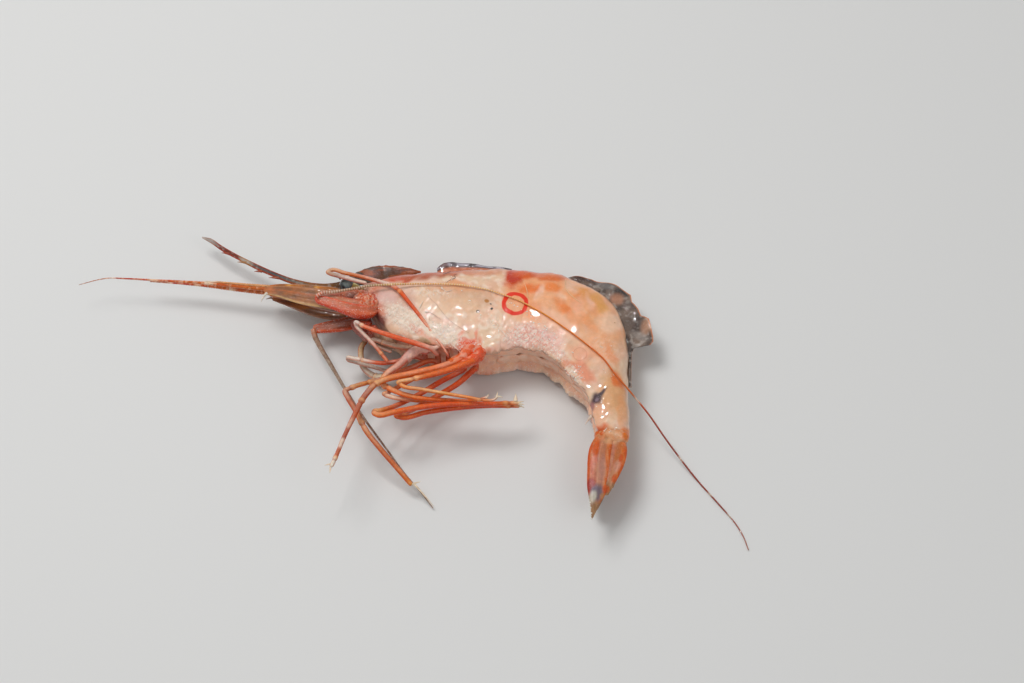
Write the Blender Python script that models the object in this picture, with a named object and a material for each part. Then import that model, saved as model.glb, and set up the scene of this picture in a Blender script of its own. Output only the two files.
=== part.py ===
"""A small deep-water shrimp, Plesionika hsuehyui, lying on its right side with its tail curled under.

Sizes are in millimetres until a mesh is stored, which takes metres. The floor is z = 0, the head points
to -X, the back to +Y, and the left flank is on top. The origin is on the floor, under the middle of
the whole.

Places on the animal are written as seen from above its belly side: the column and row of a picture
1024 by 683 pixels in size, and the height above the floor. The function seen turns them into a point.
"""

from math import cos, pi, radians, sin

import bmesh
import bpy
import numpy as np
from mathutils import Vector

METRE = 0.001

# The view in which places are read: millimetres for each pixel at the point looked at, on the floor.
PICTURE_CENTRE = (512.0, 341.5)
PIXEL = 0.11
VIEW_PITCH = radians(58.0)
VIEW_DISTANCE = 500.0
LOOK_AT = (10.78, 7.06)

# Driving sizes of the animal.
MID_HEIGHT = 3.2
GAP = 0.3
THIN_GAP = 0.2
LEAF = 0.5
FINE = 0.25

# The flank is this share of its greatest width at the free lower edge of the shell.
EDGE_SHARE = 0.68
SHELL_WALL = 0.6
CROWN_POWER = 0.75
BREAST_FACE = 0.75
EDGE_NOTCH = 0.05
HIP_SHARE = 0.5
SILHOUETTE_RISE = 1.0

# Stations of the body from the orbit to the tail fan: the back's column and row, the column and row of
# the shell's lower edge on the left, half the width, and how deep the hollow of the belly is.
STATIONS = (
    (357, 283.0, 384, 327.0, 2.05, 0.5),
    (375, 279.0, 392, 333.5, 2.50, 0.9),
    (400, 274.5, 410, 339.5, 2.90, 1.5),
    (426, 272.0, 431, 345.0, 3.15, 1.9),
    (452, 270.5, 454, 349.5, 3.32, 2.0),
    (480, 269.0, 479, 353.0, 3.38, 2.0),
    (507, 268.5, 500, 352.0, 3.38, 2.0),
    (535, 271.5, 517, 348.5, 3.38, 2.1),
    (566, 276.0, 541, 352.5, 3.35, 2.1),
    (611, 300.0, 559, 364.0, 3.15, 2.0),
    (627, 337.0, 572, 379.5, 2.75, 1.7),
    (628.5, 372.0, 586, 393.0, 2.30, 1.1),
    (630, 434.0, 597, 431.0, 1.80, 0.3),
)
LAST_STATION = len(STATIONS) - 1
CARAPACE_END = 6
SOMITE_ENDS = (6, 7, 8, 9, 10, 11, 12)
FLANK_POINTS = 9
ROOF_POINTS = 3

SHELL_RED = (0.78, 0.30, 0.18)
FLESH = (0.86, 0.62, 0.47)
LIMB_RED = (0.80, 0.34, 0.20)
CLEAR_SHELL = (0.45, 0.40, 0.38)
AMBER = (0.55, 0.36, 0.22)
EYE_GREY = (0.06, 0.08, 0.09)
CREAM = (0.78, 0.70, 0.52)


def clear_scene():
    for obj in list(bpy.data.objects):
        bpy.data.objects.remove(obj, do_unlink=True)


def seen(column, row, height):
    """The point at this height that shows at this column and row, where the line of sight meets it."""
    across = (column - PICTURE_CENTRE[0]) * PIXEL
    up = (PICTURE_CENTRE[1] - row) * PIXEL
    drop = VIEW_DISTANCE * sin(VIEW_PITCH)
    share = (drop - height) / (drop - up * cos(VIEW_PITCH))
    y = share * (VIEW_DISTANCE * cos(VIEW_PITCH) + up * sin(VIEW_PITCH)) - VIEW_DISTANCE * cos(VIEW_PITCH)
    return np.array([LOOK_AT[0] + share * across, LOOK_AT[1] + y, height])


def hermite(rows, at, where):
    """Rows of numbers read off the smooth curve through them, where `at` gives each row's own place."""
    slopes = np.gradient(rows, at, axis=0)
    i = np.clip(np.searchsorted(at, where, side="right") - 1, 0, len(at) - 2)
    span = (at[i + 1] - at[i])[:, None]
    t = (where - at[i])[:, None] / span
    start = (2 * t**3 - 3 * t**2 + 1) * rows[i] + (t**3 - 2 * t**2 + t) * span * slopes[i]
    return start + (3 * t**2 - 2 * t**3) * rows[i + 1] + (t**3 - t**2) * span * slopes[i + 1]


def smooth(points, step):
    """A curve through the points, given again at even steps of about this length."""
    rows = np.asarray(points, float)
    at = np.concatenate([[0.0], np.cumsum(np.linalg.norm(np.diff(rows, axis=0), axis=1))])
    count = max(3, int(round(at[-1] / step)) + 1)
    return hermite(rows, at, np.linspace(0.0, at[-1], count))


def body_rows():
    """Each station as centre x and y, the half depth towards the back as x and y, half width, hollow."""
    rows = []
    for back_column, back_row, edge_column, edge_row, half_width, hollow in STATIONS:
        back = seen(back_column, back_row, MID_HEIGHT + SILHOUETTE_RISE)
        edge = seen(edge_column, edge_row, MID_HEIGHT + EDGE_SHARE * half_width)
        centre, half = (back + edge) / 2, (back - edge) / 2
        rows.append((centre[0], centre[1], half[0], half[1], half_width, hollow))
    return np.array(rows)


BODY = body_rows()
FINE_STATIONS = np.linspace(0, LAST_STATION, 12 * LAST_STATION + 1)


def body_at(station):
    """The body's measures at a station number, which may lie between two stations."""
    places = np.atleast_1d(np.asarray(station, float))
    return hermite(BODY, np.arange(len(BODY), dtype=float), places)


FINE_BODY = body_at(FINE_STATIONS)


def half_width_at(share, half_width):
    """How far the flank stands from the mid plane, at a share of the way from the back to the edge."""
    upper = half_width * np.sin(pi * np.minimum(share, 0.5)) ** CROWN_POWER
    edge = EDGE_SHARE * half_width
    lower = edge + (half_width - edge) * np.sin(pi * np.maximum(share, 0.5))
    return np.where(share <= 0.5, upper, lower)


def section(station, notch=0.0):
    """One closed ring of the body: over the back from edge to edge, then through the belly's hollow."""
    x, y, half_x, half_y, half_width, hollow = body_at(station)[0]
    half_depth = np.hypot(half_x, half_y)
    share = np.abs(np.linspace(-1.0, 1.0, 2 * FLANK_POINTS + 1))
    depth = half_depth * np.cos(pi * share)
    depth = np.where(share > 0.5, depth * (1 - notch * (2 * share - 1) ** 2), depth)
    side = np.sign(np.linspace(1.0, -1.0, 2 * FLANK_POINTS + 1)) * half_width_at(share, half_width)
    inner = EDGE_SHARE * half_width - SHELL_WALL
    roof_side = np.linspace(-inner, inner, ROOF_POINTS + 2)
    roof_depth = depth[-1] + hollow * np.array([0.15, 0.9, 1.0, 0.9, 0.15])
    along = np.concatenate([depth, roof_depth]) / half_depth
    across = np.concatenate([side, roof_side])
    height = np.maximum(MID_HEIGHT + across, 0.0)
    return np.stack([x + half_x * along, y + half_y * along, height], axis=1)


def flank_height(x, y):
    """The height of the left flank over a point of the floor, or the mid height off the body."""
    centre, half = FINE_BODY[:, :2], FINE_BODY[:, 2:4]
    half_depth = np.hypot(half[:, 0], half[:, 1])
    towards_back = half / half_depth[:, None]
    off = np.array([x, y]) - centre
    depth = (off * towards_back).sum(1)
    sideways = np.abs(off[:, 0] * towards_back[:, 1] - off[:, 1] * towards_back[:, 0])
    nearest = np.argmin(sideways + 10.0 * (np.abs(depth) > half_depth))
    share = np.arccos(np.clip(depth[nearest] / half_depth[nearest], -1, 1)) / pi
    return MID_HEIGHT + float(half_width_at(share, FINE_BODY[nearest, 4]))


def on_flank(column, row, lift):
    """The point at this column and row that lies this far above the left flank."""
    height = 2 * MID_HEIGHT
    for _ in range(12):
        x, y, _ = seen(column, row, height)
        height = 0.5 * height + 0.5 * (flank_height(x, y) + lift)
    return seen(column, row, height)


def body_point(station, depth, across):
    """A point by its depth towards the back from the edge line, and its way from the mid plane."""
    x, y, half_x, half_y, _, _ = body_at(station)[0]
    along = depth / np.hypot(half_x, half_y) - 1
    return np.array([x + half_x * along, y + half_y * along, MID_HEIGHT + across])


def inner_half_width(station):
    """Half the width of the belly's hollow at its mouth, inside the free edges of the shell."""
    return EDGE_SHARE * body_at(station)[0][4] - SHELL_WALL


def hip_path(station, side):
    """The hip, on the face of the breast plate, and a place below it that clears the shell's edge."""
    across = side * HIP_SHARE * inner_half_width(station)
    return [body_point(station, BREAST_FACE - GAP, across), body_point(station, -0.15, 1.1 * across)]


def finish_of(name, colour, roughness=0.35):
    material = bpy.data.materials.get(name) or bpy.data.materials.new(name)
    material.use_nodes = True
    shader = material.node_tree.nodes["Principled BSDF"]
    shader.inputs["Base Color"].default_value = (*colour, 1.0)
    shader.inputs["Roughness"].default_value = roughness
    shader.inputs["Metallic"].default_value = 0.0
    return material


def add_object(name, data, material):
    data.materials.append(material)
    obj = bpy.data.objects.new(name, data)
    SHRIMP.objects.link(obj)
    obj.parent = ROOT
    return obj


def add_mesh(name, shape, material):
    """A node from a bmesh in millimetres, with its faces pointing out and its round sides smooth."""
    bmesh.ops.recalc_face_normals(shape, faces=shape.faces)
    bmesh.ops.triangulate(shape, faces=[face for face in shape.faces if len(face.verts) > 4])
    bmesh.ops.scale(shape, vec=Vector((METRE, METRE, METRE)), verts=shape.verts)
    mesh = bpy.data.meshes.new(name)
    shape.to_mesh(mesh)
    shape.free()
    mesh.shade_smooth()
    mesh.set_sharp_from_angle(angle=radians(50))
    return add_object(name, mesh, material)


def loft(name, rings, material):
    """A closed skin over rings of points, each with the same number of points, and a cap at each end."""
    shape = bmesh.new()
    rows = [[shape.verts.new(point) for point in ring] for ring in rings]
    count = len(rows[0])
    for row, following in zip(rows, rows[1:]):
        for i in range(count):
            j = (i + 1) % count
            shape.faces.new((row[i], row[j], following[j], following[i]))
    shape.faces.new(rows[0])
    shape.faces.new(rows[-1])
    return add_mesh(name, shape, material)


def blade(name, path, across, half_widths, half_thicknesses, material, sides=8, step=0.9):
    """A leaf or a tapering bar: an oval carried along a path, its wide way lying along `across`."""
    spine = smooth(path, step)
    share = np.linspace(0, 1, len(spine))
    at = np.linspace(0, 1, len(half_widths))
    wide = np.interp(share, at, half_widths)
    thick = np.interp(share, np.linspace(0, 1, len(half_thicknesses)), half_thicknesses)
    along = np.gradient(spine, axis=0)
    along /= np.linalg.norm(along, axis=1)[:, None]
    across = np.asarray(across, float) - along * (along @ np.asarray(across, float))[:, None]
    across /= np.linalg.norm(across, axis=1)[:, None]
    over = np.cross(along, across)
    turn = np.linspace(0, 2 * pi, sides, endpoint=False)
    rings = [
        spine[i] + np.outer(wide[i] * np.cos(turn), across[i]) + np.outer(thick[i] * np.sin(turn), over[i])
        for i in range(len(spine))
    ]
    return loft(name, rings, material)


def tube(name, path, radii, material, step=1.1):
    """A round limb or feeler on a smooth path, as a bevelled curve whose radius runs through `radii`."""
    spine = smooth(path, step)
    share = np.linspace(0, 1, len(spine))
    thickness = np.interp(share, np.linspace(0, 1, len(radii)), radii)
    spine[:, 2] = np.maximum(spine[:, 2], thickness)
    curve = bpy.data.curves.new(name, "CURVE")
    curve.dimensions = "3D"
    curve.bevel_depth = METRE
    curve.bevel_resolution = 2
    curve.use_fill_caps = True
    spline = curve.splines.new("POLY")
    spline.points.add(len(spine) - 1)
    for point, place, radius in zip(spline.points, spine, thickness):
        point.co = (*(place * METRE), 1.0)
        point.radius = radius
    return add_object(name, curve, material)


def plate(name, outline, thickness, material):
    """A flat plate: an outline of points in one plane, made thick by this vector, half to each side."""
    shape = bmesh.new()
    push = Vector(thickness)
    face = shape.faces.new([shape.verts.new(Vector(point) - push / 2) for point in outline])
    made = bmesh.ops.extrude_face_region(shape, geom=[face])
    raised = [item for item in made["geom"] if isinstance(item, bmesh.types.BMVert)]
    bmesh.ops.translate(shape, vec=push, verts=raised)
    return add_mesh(name, shape, material)


def make_carapace():
    """The shield over head and chest, from the orbit to the first ring of the tail."""
    places = np.linspace(0, CARAPACE_END - 0.02, 20)
    loft("carapace", [section(place) for place in places], FLESH_FINISH)


ROSTRUM_TOP = (
    (420, 270.0), (408, 267.0), (397, 265.5), (385, 266.5), (373, 268.0), (362, 272.5),
    (350, 279.0), (337, 281.5), (317, 282.0), (302, 280.0), (292, 277.0), (275, 271.0),
    (255, 262.5), (239, 254.5), (220, 244.5), (210, 238.5),
)
ROSTRUM_FOOT = (
    (202, 237.0), (214, 246.5), (223, 253.0), (225, 250.5), (238, 257.5), (239, 262.0),
    (243, 260.5), (255, 267.5), (256, 271.5), (260, 270.0), (270, 275.0), (271, 278.5),
    (276, 277.5), (290, 283.5), (302, 287.0), (318, 289.0), (337, 287.5), (352, 283.5),
)
ROSTRUM_HEIGHTS = (2.1, MID_HEIGHT)
ROSTRUM_COLUMNS = (202, 352)


def rostrum_point(column, row):
    """A point in the rostrum's plane, which dips a little towards the tip."""
    return seen(column, row, float(np.interp(column, ROSTRUM_COLUMNS, ROSTRUM_HEIGHTS)))


def make_rostrum():
    """The toothed beak and the crest behind it, one thin blade standing on the carapace's mid line."""
    crest_foot = []
    for station in np.linspace(0.0, 2.7, 8):
        x, y, half_x, half_y, _, _ = body_at(station)[0]
        stretch = 1 + 1.1 * GAP / np.hypot(half_x, half_y)
        crest_foot.append((x + half_x * stretch, y + half_y * stretch, MID_HEIGHT))
    outline = [rostrum_point(*place) for place in ROSTRUM_TOP]
    outline += [rostrum_point(*place) for place in ROSTRUM_FOOT] + crest_foot
    plate("rostrum", outline, (0, 0, LEAF), SHELL_FINISH)


# An eye and its stalk, from the front of the eye to the root: columns and rows, ways out from the mid
# plane, and the radius along them.
EYE_PLACES = ((339.4, 285.6), (347.2, 287.0), (355.6, 290.5))
EYE_OUT = (1.45, 1.45, 1.2)
EYE_RADII = (0.25, 0.72, 0.9, 0.9, 0.72, 0.5, 0.45)
EYE_ROW_SHIFT = 14.0


def make_eyes():
    """Two round dark eyes, each on a short stalk that leans back towards the carapace."""
    for side, name, shift in ((1, "eye_left", 0.0), (-1, "eye_right", EYE_ROW_SHIFT)):
        path = [
            seen(column, row + shift, MID_HEIGHT + side * out)
            for (column, row), out in zip(EYE_PLACES, EYE_OUT)
        ]
        blade(name, path, (0, 1, 0), EYE_RADII, EYE_RADII, EYE_FINISH, sides=12, step=0.2)


def make_antennules():
    """The first feelers: a three-jointed stem on each side, which carries two lashes."""
    stems = {
        "antennule_left": ((334, 294.5, 3.75), (300, 290.5, 3.75), (270, 289.5, 3.65)),
        "antennule_right": ((334, 299.5, 2.65), (300, 295.5, 2.65), (270, 293.5, 2.7)),
    }
    for name, places in stems.items():
        tube(name, [seen(*place) for place in places], (0.42, 0.4, 0.32), AMBER_FINISH)
    lashes = {
        "antennule_lash_left": (
            (266, 288.0, 3.6), (235, 285.2, 3.4), (206, 282.5, 3.3), (160, 280.3, 3.2), (125, 278.6, 3.2),
            (108, 278.6, 3.2), (97, 280.2, 3.2), (85, 283.5, 3.2),
        ),
        "antennule_lash_right": (
            (266, 292.5, 2.75), (235, 289.0, 2.65), (206, 285.5, 2.6), (175, 283.0, 2.6), (150, 281.5, 2.6),
        ),
    }
    radii = {
        "antennule_lash_left": (0.32, 0.3, 0.26, 0.25, 0.22, 0.1),
        "antennule_lash_right": (0.3, 0.27, 0.25, 0.1),
    }
    for name, places in lashes.items():
        tube(name, [seen(*place) for place in places], radii[name], SHELL_FINISH)


def make_scales():
    """The antennal scales: long leaves beside the beak, each with a stiff outer rim and a small spine."""
    leaves = {
        "antennal_scale_left": (
            (343, 303.5, 4.8), (318, 298.5, 4.85), (288, 292.5, 4.7), (264, 290.5, 4.5),
        ),
        "antennal_scale_right": (
            (343, 316.5, 1.7), (320, 311.5, 1.7), (292, 303.5, 1.75), (272, 298.5, 1.8),
        ),
    }
    tilt = {"antennal_scale_left": (0, 0.95, 0.25), "antennal_scale_right": (0, 0.95, -0.25)}
    for name, places in leaves.items():
        path = [seen(*place) for place in places]
        widths, depths = (0.55, 1.0, 1.05, 0.95, 0.7, 0.3), (0.27, 0.26, 0.25, 0.15)
        blade(name, path, tilt[name], widths, depths, AMBER_FINISH)


def make_antennae():
    """The second feelers: a stout base on each side, and a long lash that lies where it fell."""
    left_base = [seen(*place) for place in ((363, 307.5, 5.35), (345, 304.5, 5.7), (320, 299.0, 5.75))]
    left_widths, left_depths = (1.15, 0.95, 0.62, 0.4), (0.75, 0.55, 0.36)
    blade("antenna_base_left", left_base, (0, 1, 0), left_widths, left_depths, RED_FINISH)
    right_base = [seen(*place) for place in ((362, 321.0, 1.9), (340, 325.5, 2.1), (316, 328.0, 2.2))]
    blade("antenna_base_right", right_base, (0, 1, 0), (0.8, 0.6, 0.56), (0.7, 0.45, 0.42), RED_FINISH)

    over_head = [seen(*place) for place in ((316, 296.0, 6.5), (323, 292.5, 6.7), (338, 290.5, 6.8))]
    over_head += [seen(*place) for place in ((355, 288.5, 6.4), (368, 286.0, 6.3))]
    over_chest = ((383, 284.8), (398, 284.2), (412, 283.6), (426, 283.2))
    over_head += [on_flank(column, row, 1.0) for column, row in over_chest[:2]]
    over_head += [on_flank(column, row, 0.6) for column, row in over_chest[2:]]
    tube("antenna_left_near", over_head, (0.3, 0.26, 0.25), RED_FINISH)

    over_body = ((429, 283.1), (450, 283.3), (463, 284.6), (478, 287.5), (490, 290.3), (505, 295.2))
    over_body += ((518, 300.0), (530, 306.0), (545, 314.5), (560, 324.5), (572, 333.0), (587, 344.5))
    over_body += ((604, 359.3),)
    middle = [on_flank(column, row, 0.5) for column, row in over_body]
    middle += [on_flank(column, row, 0.55) for column, row in ((614, 373.0), (622, 382.0))]
    tube("antenna_left_middle", middle, (FINE, FINE), RED_FINISH)

    fallen = ((625.5, 386.0, 5.3), (630, 391.5, 4.6), (638, 401.0, 3.6), (648, 413.5, 2.8), (665, 438.0, 1.7))
    fallen += ((682, 461.0, 0.75), (697, 480.0, FINE), (714, 499.0, FINE), (727, 513.5, FINE))
    fallen += ((735, 523.0, FINE), (743.5, 537.0, FINE), (748.5, 550.0, FINE))
    tube("antenna_left_far", [seen(*place) for place in fallen], (FINE, FINE, FINE, 0.2), RED_FINISH)

    hanging = ((315.5, 336.5, 2.25), (318, 341.0, 2.3), (330, 361.5, 2.3), (345, 387.5, 2.3), (361, 412.5, 2.1))
    tube("antenna_right_near", [seen(*place) for place in hanging], (0.27, FINE), AMBER_FINISH)
    hanging = ((363, 415.5, 2.1), (385, 446.5, 1.6), (405, 473.5, 1.1), (420, 491.5, 0.9), (433, 508.0, 0.7))
    tube("antenna_right_far", [seen(*place) for place in hanging], (FINE, FINE, 0.2), AMBER_FINISH)


# Each limb: its hip's station and side, the places of its upper and lower length, and their radii.
LIMBS = {
    "leg_1_left": (
        3.25, 1,
        ((431, 348.5, 5.3), (418, 344.0, 5.9), (400, 338.5, 6.0), (380, 332.0, 5.75), (363, 325.8, 5.5)),
        (
            (355.5, 322.3, 5.35), (356.5, 326.0, 4.95), (361, 331.0, 4.75), (373, 343.5, 4.4),
            (388, 362.0, 3.9),
        ),
        (0.3, 0.3, 0.33, 0.28), (0.26, 0.25, 0.25, 0.2),
    ),
    "leg_2_left": (
        3.75, 1,
        (),
        (),
        (0.3, 0.28), (0.27, 0.25, 0.25, 0.27, 0.15),
    ),
    "leg_3_left": (
        2.75, 1,
        ((418, 349.0, 4.4), (400, 364.0, 4.3), (384, 378.5, 4.1)),
        (
            (384.5, 386.0, 4.2), (390, 388.7, 4.5), (413, 396.8, 5.0), (450, 400.3, 5.0),
            (478, 399.8, 4.85), (489, 396.0, 4.85),
        ),
        (0.4, 0.44, 0.45, 0.4), (0.3, 0.3, 0.28, 0.25, 0.12),
    ),
    "leg_4_left": (
        4.3, 1,
        ((464, 358.0, 5.0), (445, 365.5, 5.0), (410, 374.0, 5.0), (382, 380.5, 5.0)),
        (
            (376.5, 382.5, 5.05), (367, 393.0, 5.35), (353, 418.0, 5.7), (344, 437.0, 6.0),
            (335, 458.5, 6.3), (330, 468.5, 6.4),
        ),
        (0.36, 0.42, 0.42, 0.38), (0.34, 0.34, 0.32, 0.28, 0.24, 0.12),
    ),
    "leg_5_left": (
        4.85, 1,
        ((475, 360.5, 5.3), (445, 371.0, 5.85), (412, 379.4, 5.75)),
        (
            (400, 384.5, 5.9), (421, 389.2, 5.95), (445, 393.3, 6.0), (470, 397.6, 6.0),
            (486, 400.3, 5.9), (494, 399.5, 5.9), (499, 394.0, 5.9),
        ),
        (0.36, 0.4, 0.4, 0.34), (0.3, 0.28, 0.27, 0.26, 0.22, 0.1),
    ),
    "leg_1_right": (
        2.7, -1,
        ((416, 356.5, 2.85), (400, 360.5, 3.15), (384, 363.0, 3.15), (351, 358.2, 3.05)),
        ((346.0, 359.2, 2.4), (352, 361.0, 2.15), (370, 366.2, 2.15), (388, 371.5, 2.15)),
        (0.28, 0.26, 0.25), (0.26, 0.25, 0.15),
    ),
    "leg_2_right": (
        3.75, -1,
        ((436, 366.0, 2.5), (420, 375.0, 2.95), (400, 386.0, 3.5), (390.5, 391.0, 3.8)),
        (
            (384.5, 394.5, 4.2), (391, 396.8, 4.2), (408, 399.3, 4.2), (430, 401.5, 4.25),
            (452, 403.0, 4.15), (474, 404.0, 3.9),
        ),
        (0.28, 0.26, 0.25), (0.25, 0.25, 0.25, 0.15),
    ),
    "leg_3_right": (
        3.3, -1,
        ((434, 361.0, 2.55), (412, 367.5, 2.95), (384, 378.3, 3.15), (350, 389.0, 3.5)),
        (
            (345.5, 392.5, 3.8), (355, 409.5, 4.1), (368, 433.5, 4.15), (378, 446.0, 3.6),
            (400, 471.5, 2.2), (414, 487.0, 1.5), (420.5, 484.5, 1.4),
        ),
        (0.3, 0.32, 0.3, 0.28), (0.28, 0.29, 0.31, 0.3, 0.27, 0.1),
    ),
    "leg_4_right": (
        4.3, -1,
        (
            (464, 368.0, 2.7), (440, 382.0, 3.0), (418, 395.0, 3.2), (403, 402.5, 3.4),
            (391, 407.5, 4.4), (381, 411.0, 5.2),
        ),
        (
            (373.5, 413.5, 5.8), (379, 415.0, 6.05), (392, 412.5, 6.1), (425, 406.5, 5.8),
            (452, 404.0, 5.4), (485, 404.0, 5.0), (513, 403.0, 4.6), (521.5, 403.0, 4.5),
        ),
        (0.32, 0.32, 0.3), (0.32, 0.34, 0.32, 0.3, 0.26, 0.1),
    ),
    "leg_5_right": (
        4.85, -1,
        (
            (475, 369.0, 2.8), (458, 383.5, 3.0), (440, 394.5, 3.2), (424, 403.5, 3.45),
            (413, 409.5, 4.0), (404, 413.5, 4.7),
        ),
        (
            (395.5, 416.0, 5.1), (402, 417.5, 5.2), (425, 412.5, 5.0), (452, 408.5, 4.7),
            (485, 406.0, 4.3), (513, 407.0, 4.0), (525, 408.0, 3.9),
        ),
        (0.34, 0.34, 0.32), (0.3, 0.3, 0.3, 0.28, 0.24, 0.1),
    ),
    "maxilliped_right": (
        2.05, -1,
        ((404, 362.5, 1.6), (391, 375.5, 1.5), (378, 377.5, 1.4), (368, 371.5, 1.4)),
        ((363, 367.0, 1.4), (361, 357.0, 1.4), (361.5, 347.0, 1.5), (366, 340.0, 1.6)),
        (0.3, 0.42, 0.46, 0.35), (0.3, 0.28, 0.25, 0.2),
    ),
    "maxilliped_left": (
        2.05, 1,
        (
            (398, 346.5, 4.45), (386, 343.5, 4.2), (372, 340.0, 3.75), (370, 341.5, 3.35),
            (378, 346.0, 3.3), (392, 352.0, 3.3),
        ),
        (),
        (0.3, 0.32, 0.3, 0.28, 0.25, 0.15), (),
    ),
}


def make_leg_2_left():
    """The left second leg, which is thrown up over the chest and doubled back above the eye."""
    _, _, _, _, upper_radii, lower_radii = LIMBS["leg_2_left"]
    upper = hip_path(3.75, 1) + [seen(447, 353.5, 5.6), seen(443, 347.0, 6.35)]
    upper += [on_flank(column, row, 0.45) for column, row in ((434, 335), (420, 316), (408, 301), (398, 289.5))]
    tube("leg_2_left_upper", upper, upper_radii, LIMB_FINISH)
    lower = ((365, 277.5, 5.8), (345, 273.0, 5.5), (330, 270.3, 5.2), (326.5, 272.2, 5.2), (330, 274.6, 5.5))
    lower += ((336, 276.3, 5.9), (343, 278.0, 6.1), (354, 281.0, 6.1), (367, 283.5, 5.8))
    path = [on_flank(393, 285.5, 0.45), on_flank(381, 282.0, 0.5)] + [seen(*place) for place in lower]
    tube("leg_2_left_lower", path, lower_radii, LIMB_FINISH)


def make_limbs():
    """The legs and maxillipeds, each an upper and a lower length that meet at the knee."""
    for name, (station, side, upper, lower, upper_radii, lower_radii) in LIMBS.items():
        if not upper:
            continue
        path = hip_path(station, side) + [seen(*place) for place in upper]
        tube(f"{name}_upper" if lower else name, path, upper_radii, LIMB_FINISH)
        if lower:
            tube(f"{name}_lower", [seen(*place) for place in lower], lower_radii, LIMB_FINISH)


def make_breast():
    """The breast plate in the hollow under the chest, which the walking legs grow from."""
    rings = []
    for station in np.linspace(1.9, 5.6, 10):
        wide = 0.62 * inner_half_width(station)
        roof = 0.9 * body_at(station)[0][5] - GAP
        ring = ((BREAST_FACE, wide), (BREAST_FACE, -wide), (BREAST_FACE + 0.15, -wide), (roof, -0.5 * wide))
        ring += ((roof, 0.5 * wide), (BREAST_FACE + 0.15, wide))
        rings.append([body_point(station, *place) for place in ring])
    loft("breast_plate", rings, FLESH_FINISH)


def make_mouth():
    """The small mouth limbs, packed together under the front of the head."""
    path = [seen(358, 325.0, 3.6), seen(368, 332.0, 3.5), seen(378, 338.0, 3.3)]
    blade("mouthparts", path, (0, 0, 1), (0.5, 1.1, 1.2, 0.8), (0.4, 0.7, 0.7, 0.5), RED_FINISH, step=0.5)


def make_somites():
    """The six rings of the tail. The free lower edge of each is rounded between its neighbours."""
    for number, (start, end) in enumerate(zip(SOMITE_ENDS, SOMITE_ENDS[1:]), start=1):
        x, y = body_at(np.linspace(start, end, 20))[:, :2].T
        length = np.hypot(np.diff(x), np.diff(y)).sum()
        trim = THIN_GAP / 2 / length * (end - start)
        places = np.linspace(start + trim, end - trim, 9)
        notches = EDGE_NOTCH * (1 - np.sin(np.linspace(0.12, 0.88, 9) * pi))
        rings = [section(place, notch) for place, notch in zip(places, notches)]
        loft(f"somite_{number}", rings, FLESH_FINISH)


# Each blade of the tail fan: its places from root to tip, which way it is wide, half widths, half depths.
TAIL_FAN = {
    "telson": (
        ((621, 440.0, 3.2), (617.5, 460.0, 3.2), (609, 488.0, 3.2)), (0, 0, 1),
        (0.6, 0.54, 0.42, 0.2), (0.5, 0.45, 0.3),
    ),
    "uropod_outer_left": (
        ((606, 436.0, 4.5), (600, 452.0, 4.72), (598.5, 472.0, 4.7), (597, 490.0, 4.6), (592, 518.5, 4.5)),
        (1, 0, 0),
        (0.6, 1.15, 1.2, 1.18, 1.0, 0.6, 0.12), (0.27, 0.25, 0.15),
    ),
    "uropod_inner_left": (
        ((615, 438.0, 4.0), (612.8, 455.0, 4.13), (609.5, 470.0, 4.12), (605, 489.0, 4.05)), (1, 0, 0),
        (0.55, 1.0, 1.05, 0.85, 0.4), (0.25, 0.25, 0.2),
    ),
    "uropod_inner_right": (
        ((611, 444.5, 2.3), (606, 462.0, 2.27), (600, 485.0, 2.3), (595, 506.0, 2.35)), (1, 0, 0),
        (0.5, 1.0, 1.05, 0.8, 0.2), (0.25, 0.25, 0.15),
    ),
    "uropod_outer_right": (
        ((607, 446.0, 1.7), (601, 464.0, 1.6), (597.5, 488.0, 1.65), (594, 508.0, 1.7)), (1, 0, 0),
        (0.55, 1.05, 1.1, 0.9, 0.25), (0.27, 0.25, 0.15),
    ),
}


def make_tail_fan():
    """The telson and the two pairs of side blades, closed together like a shut fan."""
    for name, (places, across, half_widths, half_thicknesses) in TAIL_FAN.items():
        blade(name, [seen(*place) for place in places], across, half_widths, half_thicknesses, SHELL_FINISH)


def make_swimmerets():
    """Five pairs of swimming legs, folded back in the hollow of the belly and joined by a short bar."""
    for number, start in enumerate(SOMITE_ENDS[:5], start=1):
        hollow = body_at(start + 0.3)[0][5]
        root = body_point(start + 0.22, 0.9 * hollow - GAP - LEAF / 2, 0.0)
        tip = body_point(start + 0.75, 0.0, 0.0)
        length = np.linalg.norm(tip - root)
        ahead = (tip - root) / length
        up = np.array([0.0, 0.0, 1.0])
        reach = min(inner_half_width(start + 0.5) - THIN_GAP, 0.55 * inner_half_width(start + 0.3) + 0.2)
        corners = (
            (0.0, -0.6 * reach), (0.3, -0.8 * reach), (0.7, -reach), (1.0, -0.7 * reach),
            (0.8, -0.2 * reach), (0.35, 0.0), (0.8, 0.2 * reach),
            (1.0, 0.7 * reach), (0.7, reach), (0.3, 0.8 * reach), (0.0, 0.6 * reach),
        )
        outline = [root + length * along * ahead + across * up for along, across in corners]
        plate(f"pleopods_{number}", outline, np.cross(ahead, up) * LEAF, SHELL_FINISH)


# The torn outer edge of the film at the bend, and the stations of the back that it stands along.
FILM_EDGE = (
    (573, 272.0), (592, 275.0), (608, 282.5), (626, 288.8), (632, 295.0), (630.5, 301.0), (638.5, 307.5),
    (641, 314.5), (650, 322.5), (653, 333.0), (653.5, 341.0), (650.5, 344.8), (641, 342.5), (636, 346.5),
    (633.8, 355.0), (634, 372.0), (633, 389.0),
)
FILM_STATIONS = (8.15, 11.2)


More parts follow.
